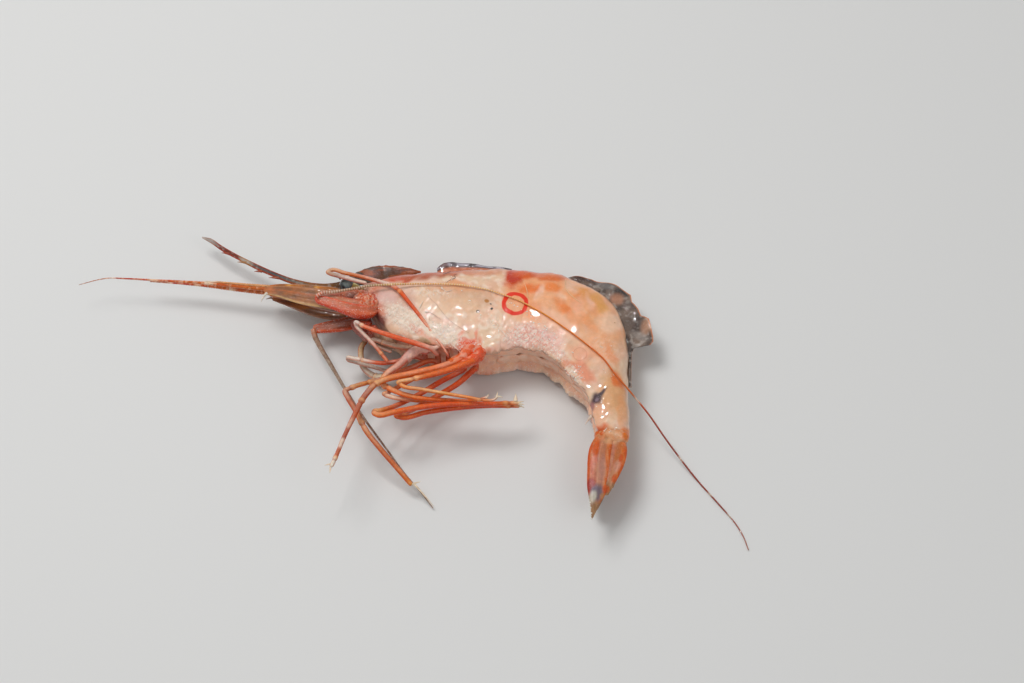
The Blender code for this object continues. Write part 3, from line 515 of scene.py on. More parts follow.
paint = lay(paint, BELLY_DEEP, 0.5 * in_hollow * ease(0.35, 0.75, broad))
paint = lay(paint, PINK, 0.6 * in_hollow * ease(0.6, 0.9, fine))
left_rim = beads * (body[..., 2] > MID_HEIGHT) * ease(6.4, 7.4, station) * ease(11.4, 10.8, station)
paint = lay(paint, EDGE_RED, 0.75 * left_rim * ease(0.4, 0.7, fine))
paint = lay(paint, PALE, 0.7 * froth * ease(0.5, 0.9, cloud(body, 0.2, 17)))
grain = 0.16 + 0.9 * froth + 0.45 * in_hollow + 0.35 * beads

flesh_finish = wet_finish(
    "wet_flesh", mottle=0.06, mottle_size=0.5, bump=0.6, bump_size=0.24, glint_flecks=0.75, roughness=0.36,
    coat=0.9, vivid=1.07,
)

# The marks on the flank: a red ring on the first tail ring, a brown fleck and a few dark specks. Noise
# moves the places that they are drawn from by up to RAGGED metres, so that their rims are uneven.
RAGGED = 0.00035
links = flesh_finish.node_tree.links
object_place = add_node(flesh_finish, "TexCoord").outputs["Object"]
wobble = add_node(flesh_finish, "TexNoise", Scale=900.0)
shift = add_node(flesh_finish, "VectorMath", "MULTIPLY_ADD", (RAGGED, RAGGED, 0.0))
links.new(object_place, wobble.inputs["Vector"])
links.new(wobble.outputs["Color"], shift.inputs[0])
links.new(object_place, shift.inputs[2])
body_colour = flesh_finish.node_tree.nodes["Principled BSDF"].inputs["Base Color"]


def mark(paint_socket, centre, radius, stroke, rim, colour, cover, squash):
    """The paint with a mark on it: a stroke along a circle of this radius, or a filled dot if it is nought.
    It covers where the distance from the centre differs from the radius by less than half the stroke."""
    middle = centre * 0.001 + (RAGGED / 2, RAGGED / 2, 0.0)
    off = add_node(flesh_finish, "VectorMath", "SUBTRACT", middle)
    squashed = add_node(flesh_finish, "VectorMath", "MULTIPLY", (1.0, squash, 0.0))
    distance = add_node(flesh_finish, "VectorMath", "LENGTH")
    past = add_node(flesh_finish, "Math", "SUBTRACT", radius * 0.001)
    near = add_node(flesh_finish, "Math", "ABSOLUTE")
    outer, inner = (stroke + rim) * 0.001, (stroke - rim) * 0.001
    fade = add_node(flesh_finish, "MapRange", From_Min=outer, From_Max=inner, To_Max=cover)
    for start, end in (
        (shift.outputs["Vector"], off), (off.outputs["Vector"], squashed),
        (squashed.outputs["Vector"], distance), (distance.outputs["Value"], past),
        (past.outputs["Value"], near), (near.outputs["Value"], fade),
    ):
        links.new(start, end.inputs[0])
    return covered(flesh_finish, paint_socket, colour, fade.outputs["Result"])


# Each mark's column and row, its radius, half its stroke and its soft rim in millimetres, its screen
# colour, how fully it covers and how far it is squashed.
MARKS = (
    (515.0, 303.3, 1.24, 0.24, 0.05, (232, 46, 8), 1.0, 0.98),
    (487, 300.5, 0.0, 0.27, 0.06, (188, 122, 52), 0.95, 1.2),
    (490.8, 303.6, 0.0, 0.10, 0.03, (56, 48, 44), 1.0, 1.0),
    (491.8, 308.5, 0.0, 0.15, 0.03, (52, 46, 46), 1.0, 1.0),
    (477.8, 310.8, 0.12, 0.07, 0.03, (56, 50, 50), 1.0, 1.0),
    (580.0, 354.0, 0.75, 0.06, 0.04, (206, 128, 98), 0.5, 1.0),
    (614.5, 322.5, 0.0, 0.07, 0.03, (170, 104, 66), 0.8, 1.0),
)
colour_now = body_colour.links[0].from_socket
for column, row, radius, stroke, rim, colour, cover, squash in MARKS:
    centre = on_flank([(column, row, 0.0)])[0]
    colour_now = mark(colour_now, centre, radius, stroke, rim, tint(*colour), cover, squash)
links.new(colour_now, body_colour)

# Fine seams and hairs on the flank, and the pale edges of lifted skin: their places, radius and colour.
STRANDS = (
    (((428, 296.5), (436, 304), (443, 313), (449.5, 320), (459, 327), (469, 333)), 0.025, (196, 158, 130)),
    (((446, 282.5), (451, 279.5), (455.5, 277.5), (454, 275.3), (457.5, 273.8)), 0.026, (70, 56, 50)),
    (((443, 274.2), (447, 273), (451, 271.3)), 0.03, (60, 48, 44)),
    (((424.5, 310.8), (431, 312.8), (437, 317), (441, 319.5)), 0.025, (184, 164, 156)),
    (((423, 301), (420.8, 305), (418.8, 309)), 0.06, (250, 236, 220)),
    (((498, 327), (503, 332), (507, 337), (513, 341)), 0.06, (250, 226, 210)),
    (((565.5, 279), (566.5, 290), (572, 296), (581, 303)), 0.06, (246, 200, 158)),
    (((523.5, 281), (527, 291), (528, 300)), 0.05, (246, 190, 148)),
    (((441, 287.5), (447, 291.5), (452, 290)), 0.05, (244, 222, 206)),
    (((450, 343), (455, 347), (460, 352)), 0.06, (248, 222, 206)),
)
STRAND_LIFT = 0.02
TAIL_SPINE = ((592, 416, 4.4), (588.5, 419.5, 4.1), (585, 424.5, 3.9))
tail_spine, _ = carried(places(TAIL_SPINE), (0.26, 0.12, 0.02), sides=8)
strands = [(tail_spine, tint(226, 204, 188), 0.1)]
for seen_rows, radius, colour in STRANDS:
    path = on_flank([(*seen_row, STRAND_LIFT) for seen_row in seen_rows])
    strand, _ = carried(path, (radius * 0.5, radius, radius * 0.5), sides=8, spacing=0.1)
    strands.append((strand, tint(*colour), 0.0))

somites = [f"somite_{number}" for number in range(1, 7)]
add_piece(
    "body", [(body, paint, grain), *strands], flesh_finish, "wet_flesh", "carapace", "breast_plate", *somites,
)


# Grains of wet froth stand on the gill cover and on the side of the tail: beads of clear slime, a few
# hundredths of a millimetre across, scattered where the surface is coarse, and painted near white as glints.
GRAINS = 800
# Near-white paint: the grains and drops are painted glints on beads of slime.
SLIME_GLINT_WHITE = tint(255, 242, 228)


def ball(centre, radii, rows=40, sides=48, pole=0.02):
    """A ball of three radii: rings round X, by the sines and cosines of an angle that runs from `pole` off
    one pole to as much off the other, in radians."""
    down = np.linspace(pole, pi - pole, rows)[:, None]
    round_it = np.linspace(0, 2 * pi, sides, endpoint=False)[None, :]
    shape = np.broadcast_arrays(
        np.cos(down), np.sin(down) * np.cos(round_it), np.sin(down) * np.sin(round_it),
    )
    return np.asarray(centre) + np.stack(shape, axis=-1) * np.asarray(radii)


draw = np.random.default_rng(83)
weight = (froth**2 * (body[..., 2] > MID_HEIGHT)).ravel()
chosen = draw.choice(len(weight), GRAINS, replace=False, p=weight / weight.sum())
grain_places = body.reshape(-1, 3)[chosen] + away.reshape(-1, 3)[chosen] * 0.01
grain_sizes = draw.uniform(0.03, 0.065, GRAINS)
grain_stretches = draw.uniform(0.7, 1.4, GRAINS)
bead = ball((0, 0, 0), (1, 1, 1), rows=5, sides=7, pole=0.2)
slime_glint_beads = [
    (spot + bead * size * (stretch, 1, 0.8), SLIME_GLINT_WHITE, 0.0)
    for spot, size, stretch in zip(grain_places, grain_sizes, grain_stretches)
]

# Larger drops stand in threes where the slime is thick: along the long lash, over the folds and on the
# root of the tail fan. They are painted near white too, as painted glints where the flank glints most.
DROPS_EACH = 3
DROP_SPREAD = 0.9
GLINT_DROPS = (
    (511, 302.5), (514, 304.5), (517.5, 306.5), (521, 309.5), (527, 312.5), (531, 316.5), (537, 319),
    (539.5, 323), (545, 325.5), (547, 329), (551, 331.5), (555, 333.5), (543, 331), (533, 322), (553, 344),
    (556, 351), (558, 356.5), (554.5, 348), (549, 339), (582, 372), (583.5, 377.5), (580, 366), (606, 364),
    (609, 368.5), (613, 375), (605, 371), (468, 302), (470, 301), (463, 290), (441, 288), (446, 283),
    (452, 278), (480, 315), (489, 321), (494, 326), (498, 331), (440, 324), (446, 328), (434, 322),
    (426, 312), (411, 318), (399, 316), (388, 314), (449, 343), (453, 346), (504, 340), (509, 344),
    (606, 429), (611, 430), (616, 428), (604, 416), (597, 408), (602, 402), (565, 345), (572, 352),
    (515, 333), (520, 336), (526, 341),
)
drop_rows = np.repeat(GLINT_DROPS, DROPS_EACH, axis=0)
drop_rows = drop_rows + draw.normal(0, DROP_SPREAD, drop_rows.shape)
drop_places = on_flank(np.column_stack([drop_rows, np.zeros(len(drop_rows))]))
drop_sizes = draw.uniform(0.02, 0.08, len(drop_rows))
drop_stretches = draw.uniform(0.8, 1.5, len(drop_rows))
for spot, size, stretch in zip(drop_places, drop_sizes, drop_stretches):
    slime_glint_beads.append((spot + bead * (stretch * size, size, 0.6 * size), SLIME_GLINT_WHITE, 0.0))
grain_finish = wet_finish("wet_grains", mottle=0.03, bump=0.0, roughness=0.2, coat=1.0, vivid=1.0)
add_piece("wet_grains", slime_glint_beads, grain_finish, "wet_flesh")


# The rostrum is a thin toothed blade that rises from the crest of the carapace. It is clear shell with red
# edges and white bands, and sharp teeth point forward along its lower edge.
ROSTRUM_TOP = np.array([
    (421, 271.5), (408, 268.2), (397, 266.3), (385, 266), (373, 267), (362, 270.5), (352, 275), (345, 280),
    (337, 282.5), (317, 283.5), (302, 281), (292, 278.5), (275, 272.2), (255, 263.3), (239, 255.5),
    (220, 244.5), (212, 239), (202, 236.8),
])
ROSTRUM_FOOT = np.array([
    (421, 272.5), (408, 275.5), (397, 277), (385, 280), (373, 282.5), (362, 285), (352, 286.5), (345, 287),
    (337, 288), (317, 288.5), (302, 286.5), (292, 284), (275, 277.5), (255, 268.8), (239, 260.3),
    (220, 249.8), (212, 244), (202, 238),
])
ROSTRUM_BANDS = (
    (200, (214, 206, 196)), (212, (186, 174, 168)), (218, (160, 140, 134)), (221, (128, 76, 66)),
    (238, (126, 78, 68)), (241, (196, 184, 172)), (249, (200, 186, 172)), (255, (112, 96, 92)),
    (275, (88, 88, 90)), (288, (116, 110, 104)), (302, (132, 112, 94)), (312, (160, 112, 76)),
    (340, (138, 100, 72)), (352, (84, 66, 54)), (366, (84, 62, 50)), (376, (128, 70, 36)),
    (386, (92, 66, 46)), (400, (112, 62, 36)), (421, (176, 92, 60)),
)
EDGE_BANDS = (
    (200, (206, 190, 182)), (214, (190, 150, 134)), (218, (172, 44, 12)), (238, (186, 52, 14)),
    (241, (200, 140, 92)), (249, (196, 134, 80)), (253, (184, 68, 24)), (280, (176, 66, 20)),
    (300, (180, 92, 38)), (345, (120, 90, 62)), (360, (96, 80, 68)), (400, (112, 76, 58)),
    (421, (176, 96, 66)),
)
# The teeth: the column and row of each one's tip and of its root. The bumps of the crest: the column and
# the height in pixels of each.
ROSTRUM_TEETH = (
    ((221.5, 252.8), (229.5, 255.2)), ((237.2, 262), (246.5, 264)), ((254.2, 271.6), (262, 272.6)),
    ((268.5, 277.8), (279, 279.2)),
)
CREST_BUMPS = (
    (350, 0.6), (357, 0.6), (364, 0.7), (372, 0.5), (379, 0.6), (386, 0.7), (394, 0.5), (403, 0.5),
    (411, 0.4),
)


def banded(at, bands):
    """Paint along a piece from rows of place and screen colour, changing evenly from each to the next."""
    stops = np.array([stop for stop, _ in bands], float)
    colours = np.array([tint(*colour) for _, colour in bands])
    return np.stack([np.interp(at, stops, colours[:, i]) for i in range(3)], axis=-1)


def thorn(root, tip, radius, bow=(0, 0, 0)):
    """A small sharp spine: a round tube that narrows to a point, its middle moved aside by `bow`."""
    root, tip = np.asarray(root), np.asarray(tip)
    path = [root, root * 0.5 + tip * 0.5 + bow, tip]
    return carried(path, (radius, radius * 0.62, 0.02), sides=8, spacing=0.06)[0]


columns = np.linspace(ROSTRUM_TOP[-1, 0], ROSTRUM_TOP[0, 0], 460)
top_row, foot_row = (
    smooth_through(line[::-1, 1:], line[::-1, 0], columns)[:, 0] for line in (ROSTRUM_TOP, ROSTRUM_FOOT)
)
for tip, height in CREST_BUMPS:
    top_row -= height * np.exp(-np.abs((columns - tip) / 2.0) ** 1.5)
sink = np.interp(columns, (202, 352), (2.1, MID_HEIGHT))
top, foot = seen(columns, top_row, sink), seen(columns, foot_row, sink)
round_blade = np.linspace(0, 2 * pi, 32, endpoint=False)
edge_on = np.cos(round_blade)
centre, reach = (top + foot) / 2, (top - foot) / 2
thick = np.interp(columns, (202, 230, 300, 350, 421), (0.06, 0.10, 0.15, 0.2, 0.14))
on_crest = ease(345, 360, columns)[:, None]
blade = centre[:, None] + reach[:, None] * edge_on[None, :, None]
rims = 0.62 + 0.5 * np.exp(-(((np.abs(edge_on) - 0.8) / 0.16) ** 2))
blade[..., 2] += thick[:, None] * np.sign(np.sin(round_blade)) * np.abs(np.sin(round_blade)) ** 0.5 * rims
blade[..., 2] += (cloud(blade, 0.7, 22) - 0.5) * 0.05 * on_crest
along_blade = columns[:, None]
at_edges = ease(0.4, 0.66, np.abs(edge_on))[None, :]
blade_paint = lay(banded(along_blade, ROSTRUM_BANDS), banded(along_blade, EDGE_BANDS), at_edges)
worn = (0.4 - 0.38 * on_crest) * ease(0.72, 0.95, cloud(blade, 0.35, 23))
blade_paint = lay(blade_paint, tint(206, 200, 194), worn)
streaks = ease(0.5, 0.85, cloud(blade * (0.22, 1, 1), 0.28, 24)) * on_crest
blade_paint = lay(blade_paint, tint(196, 96, 36), 0.8 * streaks)
shell_finish = wet_finish("banded_shell", bump_size=0.15, glint_flecks=0.12, coat=0.6, bright=0.64)
skins = [(blade, blade_paint, 0.3 + 0.4 * on_crest)]
for (tip_column, tip_row), (root_column, root_row) in ROSTRUM_TEETH:
    height = np.interp(root_column, columns, sink)
    root, tip = seen(root_column, root_row - 1.2, height), seen(tip_column, tip_row, height)
    tooth_paint = lay(banded(root_column, EDGE_BANDS), tint(226, 212, 200), 0.25)
    skins.append((thorn(root, tip, 0.17, (0, 0.03, 0)), tooth_paint, 0.1))
add_piece("rostrum_blade", skins, shell_finish, "red_shell", "rostrum")


# The eyes are dark glossy balls under clear skin, each with a grey sheen painted on its side towards the
# belly and a paler highlight painted over its middle. Each stands on a short clear stalk, jointed to the
# head in front of the carapace, with a thin dark streak that stands from the ball's front, on its side
# towards the back.
eye_finish = wet_finish(
    "eye_glass", mottle=0.25, mottle_size=0.5, bump=0.12, bump_size=0.1, roughness=0.1, soft=0.0, coat=1.0,
)
# How many rows lower an eye is seen, and how far it stands from the mid plane.
EYES = {"eye_left": (0.0, 1.45), "eye_right": (14.0, -1.45)}
for name, (lower, across) in EYES.items():
    centre = seen(346.9, 285.6 + lower, MID_HEIGHT + across)
    globe = ball(centre, (0.84, 0.86, 0.88))
    # A grey sheen is painted on the side towards the belly, and a paler highlight over the middle as the ball
    # is seen.
    painted_sheen = ease(0.35, 0.8, cloud(globe, 0.7, 21)) * ease(0.1, 0.7, centre[1] - globe[..., 1])
    globe_paint = lay(tint(24, 28, 30), tint(104, 120, 124), 0.6 * painted_sheen)
    painted_highlight = oval(seen_at(globe), 347.5, 283.5 + lower, 5, 2.8, 8, 0.5)
    globe_paint = lay(globe_paint, tint(128, 138, 136), 0.7 * painted_highlight)
    root = seen(362, 293 + lower, MID_HEIGHT + 0.8 * across)
    stalk, _ = carried([root, (root + centre) / 2 + (0, 0.05, 0), centre], (0.55, 0.6, 0.7), sides=24)
    stalk_paint = lay(tint(150, 118, 84), tint(176, 168, 120), cloud(stalk, 0.5, 25))
    # A thin dark streak stands from the front of the ball, on its side towards the back.
    rim = thorn(centre + (-0.72, 0.62, 0.3), centre + (-0.98, 0.92, 0.3), 0.09)
    skins = [(globe, globe_paint, 0.1), (stalk, stalk_paint, 0.4), (rim, tint(70, 44, 38), 0.1)]
    add_piece(f"{name}_globe", skins, eye_finish, "eye", name)


# The first feelers: a three-jointed stem on each side, which carries a thick lash that runs out to a hair,
# and a pale thinner one beside it. Bands of red and white run along them.
STEM_BANDS = (
    (0.0, (156, 100, 66)), (0.3, (178, 112, 62)), (0.34, (206, 160, 114)), (0.4, (164, 102, 58)),
    (0.66, (178, 110, 58)), (0.7, (214, 170, 122)), (0.76, (166, 98, 50)), (1.0, (200, 114, 56)),
)
LASH_BANDS = (
    (0.0, (196, 104, 56)), (0.12, (206, 112, 62)), (0.28, (200, 92, 46)), (0.325, (226, 196, 172)),
    (0.345, (232, 210, 192)), (0.36, (206, 110, 66)), (0.42, (212, 128, 96)), (0.5, (206, 138, 116)),
    (0.56, (190, 66, 32)), (0.6, (224, 186, 164)), (0.63, (226, 190, 166)), (0.66, (190, 60, 28)),
    (0.8, (186, 48, 20)), (0.825, (232, 214, 202)), (0.85, (196, 140, 124)), (0.92, (170, 110, 88)),
    (1.0, (150, 80, 56)),
)


def ringed(rings, length, spacing, height):
    """The same rings, drawn in a little between the small joints that stand this far apart."""
    reach = np.linalg.norm(np.diff(rings.mean(1), axis=0), axis=1).sum()
    beat = 1 - height * (0.5 - 0.5 * np.cos(2 * pi * length * reach / spacing)) ** 3
    centre = rings.mean(1, keepdims=True)
    return centre + (rings - centre) * beat[:, None, None]


def edged(rings, paint, colour, share):
    """Paint of a tube with its two side edges in another colour: the sides are where the sine is small."""
    upward = np.abs(np.sin(np.linspace(0, 2 * pi, rings.shape[1], endpoint=False)))
    return lay(paint, colour, share * ease(0.85, 0.35, upward)[None, :])


feeler_finish = wet_finish("feeler_shell", bump_size=0.1, glint_flecks=0.25, roughness=0.28)
# Each side's stem, its thick lash with the radii from root to tip, and its thin one.
ANTENNULES = {
    "left": (
        ((343, 292.5, 4.0), (318, 289.6, 4.05), (295, 287.8, 4.0), (280, 287.6, 3.9), (267, 288.6, 3.7)),
        ((272, 289.2, 3.66), (252, 287.5, 3.5), (235, 285.8, 3.4), (206, 283.2, 3.3), (160, 280.5, 3.2),
         (125, 278.6, 3.2), (108, 278.2, 3.2), (97, 280.0, 3.2), (85, 283.2, 3.2), (79, 284.8, 3.2)),
        (0.33, 0.31, 0.27, 0.23, 0.18, 0.16, 0.15, 0.13, 0.11, 0.09, 0.07, 0.05, 0.035),
        ((270, 286.4, 3.95), (245, 284.4, 3.75), (225, 282.6, 3.6), (208, 281.4, 3.45), (202, 281.5, 3.4)),
    ),
    "right": (
        ((340, 301, 2.65), (318, 297.5, 2.65), (295, 295, 2.65), (270, 293.5, 2.7)),
        ((272, 293.0, 2.75), (235, 289.0, 2.65), (206, 285.5, 2.6), (175, 283.0, 2.6), (150, 281.5, 2.6)),
        (0.32, 0.28, 0.22, 0.14, 0.06),
        ((272, 291.5, 2.85), (245, 288.6, 2.8), (225, 286.6, 2.75), (208, 284.6, 2.7)),
    ),
}
for side_name, (stem_places, lash_places, lash_radii, strand_places) in ANTENNULES.items():
    stem, along = carried(places(stem_places), (0.44, 0.46, 0.42, 0.44, 0.4, 0.42, 0.34), sides=24)
    smoky = ease(0.45, 0.8, cloud(stem * (0.35, 1, 1), 0.6, 26))
    stem_paint = lay(banded(along[:, None], STEM_BANDS), tint(104, 94, 84), 0.55 * smoky)
    stem_paint = edged(stem, stem_paint, tint(196, 104, 44), 0.8)
    lash, length = carried(places(lash_places), lash_radii, sides=14, spacing=0.05)
    pale = ease(0.6, 0.85, cloud(lash, 0.3, 27))
    lash_paint = lay(banded(length[:, None], LASH_BANDS), tint(232, 206, 186), 0.5 * pale)
    lash = ringed(lash, length, 0.28, 0.16)
    strand, along = carried(
        places(strand_places), (0.17, 0.15, 0.13, 0.11, 0.08), sides=12, spacing=0.05, tip=0.03,
    )
    strand_paint = lay(tint(216, 168, 136), tint(238, 222, 206), ease(0.72, 0.85, along)[:, None])
    strand = ringed(strand, along, 0.28, 0.2)
    add_piece(
        f"first_feeler_{side_name}",
        [(stem, stem_paint, 0.5), (lash, lash_paint, 0.35), (strand, strand_paint, 0.3)],
        feeler_finish, "red_shell", f"antennule_{side_name}", f"antennule_lash_{side_name}",
    )


# The antennal scales are long thin leaves of amber shell beside the beak, stiff along the outer rim, which
# ends in a short white spine.
def leaf(path, half_widths, half_thickness, across, sides=32, spacing=0.15, ridge=0.0, groove=0.0, tip=0.0):
    """A leaf along a path: an oval whose wide way lies across, with a low rib down its middle and a groove
    on each side of it. Over the last share `tip` of the length it closes to a round end."""
    path, across = np.asarray(path, float), np.asarray(across, float)
    at = np.concatenate([[0.0], np.cumsum(np.linalg.norm(np.diff(path, axis=0), axis=1))])
    along = np.linspace(0, at[-1], max(8, int(at[-1] / spacing)))
    spine = smooth_through(path, at, along)
    length = along / at[-1]
    wide = smooth_through(np.array(half_widths, float)[:, None], np.linspace(0, 1, len(half_widths)), length)
    thick = np.interp(length, np.linspace(0, 1, len(half_thickness)), half_thickness)[:, None]
    if tip:
        close = 0.05 + 0.95 * np.sqrt(1 - np.clip((length - 1 + tip) / tip, 0, 1) ** 2)
        wide, thick = wide * close[:, None], thick * close[:, None]
    ahead = np.gradient(spine, axis=0)
    ahead /= np.linalg.norm(ahead, axis=1)[:, None]
    across = across - ahead * (ahead @ across)[:, None]
    across /= np.linalg.norm(across, axis=1)[:, None]
    over = np.cross(ahead, across)
    turn = np.linspace(0, 2 * pi, sides, endpoint=False)[None, :]
    rib = 1 + ridge * np.exp(-((np.cos(turn) / 0.16) ** 2))
    rib -= groove * np.exp(-(((np.abs(np.cos(turn)) - 0.45) / 0.2) ** 2))
    rings = spine[:, None] + (wide * np.cos(turn))[..., None] * across[:, None]
    rings = rings + (thick * np.sin(turn) * rib)[..., None] * over[:, None]
    return rings, length, np.cos(turn[0])


def stripe(over_leaf, middle, half_width, share=1.0):
    """One along a stripe at this way across a leaf, and less beside it as on a bell curve."""
    return (share * np.exp(-(((over_leaf - middle) / half_width) ** 2)))[None, :]


def roughened(rings, amount):
    """The same rings, each point moved out or in from its ring's middle by a share of its way there."""
    return rings + (rings - rings.mean(1, keepdims=True)) * amount[..., None]


amber_finish = wet_finish(
    "amber_shell", mottle=0.16, bump=0.45, glint_flecks=0.12, roughness=0.32, coat=0.6, vivid=1.0, bright=0.86,
)


AMBER_BANDS = (
    (0.0, (180, 116, 72)), (0.25, (176, 114, 62)), (0.6, (168, 102, 52)), (0.85, (180, 104, 52)),
    (1.0, (196, 116, 62)),
)
# Each side's leaf, the way across it, its spine's root, tip, bow and radius, and the colours of its rim
# towards the belly, partly the stiff rim and partly a painted highlight, its dark streaks and its spine.
SCALES = {
    "left": (
        ((347, 307, 4.75), (330, 300.5, 4.85), (300, 295.3, 4.8), (280, 291.5, 4.6), (264, 290, 4.5)),
        (0, 0.95, 0.25), ((267, 293, 4.45), (261.2, 301.7, 4.3), (-0.10, 0.04, 0), 0.18),
        (222, 178, 120), (120, 84, 54), (236, 224, 206),
    ),
    "right": (
        ((346, 316.5, 1.7), (320, 311.5, 1.7), (292, 303, 1.75), (272, 297.5, 1.8)),
        (0, 0.95, -0.25), ((272, 297.8, 1.8), (266, 299.2, 1.75), (0, 0.03, 0), 0.12),
        (176, 130, 104), (96, 78, 72), (150, 112, 84),
    ),
}
for side_name, (leaf_places, across, spine_places, rim_and_highlight_colour, dark, spine_colour) in SCALES.items():
    scale, length, over_leaf = leaf(
        places(leaf_places), (0.6, 0.95, 1.05, 1.0, 0.85, 0.62, 0.4), (0.2, 0.17, 0.13, 0.08), across,
        ridge=0.5, groove=0.3, tip=0.04,
    )
    dark_streaks = ease(0.4, 0.8, cloud(scale * (0.2, 1, 1), 0.45, 28))
    scale_paint = lay(banded(length[:, None], AMBER_BANDS), tint(*dark), 0.6 * dark_streaks)
    scale_paint = lay(scale_paint, tint(206, 110, 56), stripe(over_leaf, 0.15, 0.12, 0.75))
    # The rim towards the belly is painted paler: partly the stiff rim, partly a painted highlight.
    scale_paint = lay(scale_paint, tint(*rim_and_highlight_colour), stripe(over_leaf, -0.92, 0.16, 0.9))
    scale_paint = lay(scale_paint, tint(196, 132, 84), stripe(over_leaf, 0.95, 0.1, 0.8))
    spine_root, spine_tip, bow, radius = spine_places
    spine = thorn(seen(*spine_root), seen(*spine_tip), radius, bow)
    add_piece(
        f"scale_{side_name}", [(scale, scale_paint, 0.5), (spine, tint(*spine_colour), 0.1)], amber_finish,
        "amber_shell", f"antennal_scale_{side_name}",
    )


# The second feelers: a stout red base on each side, rooted in a red lump of the head, and a very long lash.
# The left one doubles back over the body and trails off behind it to the floor; the right one hangs down.
BASE_RED = tint(206, 82, 52)
BASE_CLEAR = tint(192, 132, 106)
LEFT_BASE = (
    (379, 309.5, 4.9), (369, 310.5, 5.2), (357, 309, 5.5), (345, 305.6, 5.7), (335, 302.2, 5.8),
    (322, 298.6, 5.85), (314.5, 298.4, 5.8),
)
LEFT_BASE_PATCHES = (
    (370, 309, 8, 8, 20, (232, 140, 112), 0.75), (357, 311, 10, 6, 15, (222, 120, 92), 0.6),
    (338, 302.5, 14, 3, 14, (226, 140, 110), 0.6), (366, 318, 12, 2.5, 5, (206, 62, 36), 0.8),
)
base_finish = wet_finish("feeler_base", mottle=0.12, bump=0.6, glint_flecks=0.6, coat=0.9, vivid=1.12, bright=0.88)
left_base, length, over_leaf = leaf(
    places(LEFT_BASE), (0.2, 0.85, 1.12, 1.16, 1.08, 1.0, 0.95, 0.84, 0.62), (0.3, 0.8, 0.7, 0.5, 0.42, 0.34),
    (0, 1, 0), ridge=0.3, groove=0.3, tip=0.08,
)
base_paint = lay(BASE_CLEAR, tint(224, 160, 136), 0.6 * cloud(left_base, 0.5, 31))
base_paint = lay(base_paint, BASE_RED, 0.5 * ease(0.45, 0.1, length)[:, None])
base_paint = lay(base_paint, BASE_RED, stripe(over_leaf, -0.5, 0.22, 0.6))
for middle, wide in ((0.0, 0.12), (0.95, 0.22), (-0.95, 0.22)):
    base_paint = lay(base_paint, tint(212, 64, 38), stripe(over_leaf, middle, wide, 0.9))
base_paint = lay(base_paint, tint(204, 70, 40), 0.8 * ease(0.9, 0.97, length)[:, None])
base_paint = patched(base_paint, seen_at(left_base), LEFT_BASE_PATCHES, 0.7)

# A brown fold of soft skin beside the eye, and the red lump of the head that the base is rooted in.
fold = ball(seen(350, 296.3, 4.75), (1.7, 0.8, 0.8), rows=60, sides=60)
fold += (fold - fold.mean((0, 1))) * ((cloud(fold, 0.6, 39) - 0.5) * 0.2)[..., None]
fold_paint = lay(tint(156, 100, 84), tint(190, 116, 92), cloud(fold, 0.6, 38))
LUMP_PLACE = (366, 304.4, 4.95)
LUMP_PATCHES = (
    (369, 308, 6, 8, 20, (236, 158, 122), 0.7), (376, 298, 3, 8, 30, (216, 56, 30), 0.75),
    (352, 298, 6, 7, 20, (150, 96, 84), 0.75), (380, 307, 4, 10, 0, (240, 180, 152), 0.6),
)
LUMP_UNDERSIDE = ((357, 314, 9, 2.5, 12, (214, 60, 34), 0.6),)
lump = ball(seen(*LUMP_PLACE), (1.5, 1.6, 1.2), rows=90, sides=110)
lump_out = lump - seen(*LUMP_PLACE)
lump += lump_out * ((cloud(lump, 0.9, 34) - 0.5) * 0.26 + (cloud(lump, 0.3, 35) - 0.5) * 0.1)[..., None]
lump_at = seen_at(lump)
lump_paint = lay(tint(206, 88, 60), tint(228, 140, 108), 0.8 * cloud(lump, 0.7, 36))
lump_paint = patched(lump_paint, lump_at, LUMP_PATCHES, 0.6)
grainy = ease(0.55, 0.8, cloud(lump, 0.22, 40)) * oval(lump_at, 366, 300, 11, 12, 0, 0.7)
lump_paint = lay(lump_paint, tint(246, 196, 168), 0.6 * grainy)
lump_paint = patched(lump_paint, lump_at, LUMP_UNDERSIDE, 0.6)

# The long lash doubles back beside the eye, lies on the flank, and hangs down behind it to the floor.
LASH_AT_HEAD = (
    (316.5, 296.5, 6.35), (322, 293, 6.6), (330, 292.3, 6.6), (345, 290, 6.55), (358, 287.8, 6.4),
    (368, 286, 6.3),
)
LASH_OVER_FLANK = (
    (383, 284.8, 0.8), (398, 284.2, 0.6), (412, 283.8, 0.35), (426, 283.8, 0.28), (450, 284.2, 0.2),
    (463, 285.2, 0.2), (478, 287.5, 0.2), (490, 290.3, 0.2), (505, 295.2, 0.2), (518, 300, 0.2),
    (530, 306, 0.2), (545, 314.5, 0.2), (560, 324.5, 0.2), (572, 333, 0.2), (587, 344.5, 0.2),
    (604, 359.3, 0.2), (614, 372.5, 0.25), (622, 382, 0.4),
)
LASH_BEHIND = (
    (630, 391.5, 4.6), (638, 401, 3.6), (648, 413.5, 2.8), (665, 438, 1.7), (682, 461, 0.75),
    (697, 480, 0.14), (714, 499, 0.14), (727, 513.5, 0.14), (735, 523, 0.14), (743.5, 537, 0.14),
    (748.5, 550, 0.14),
)
LONG_LASH_RADII = (
    0.24, 0.15, 0.14, 0.12, 0.10, 0.09, 0.085, 0.085, 0.09, 0.10, 0.11, 0.11, 0.11, 0.11, 0.11, 0.10, 0.09,
    0.07, 0.05,
)
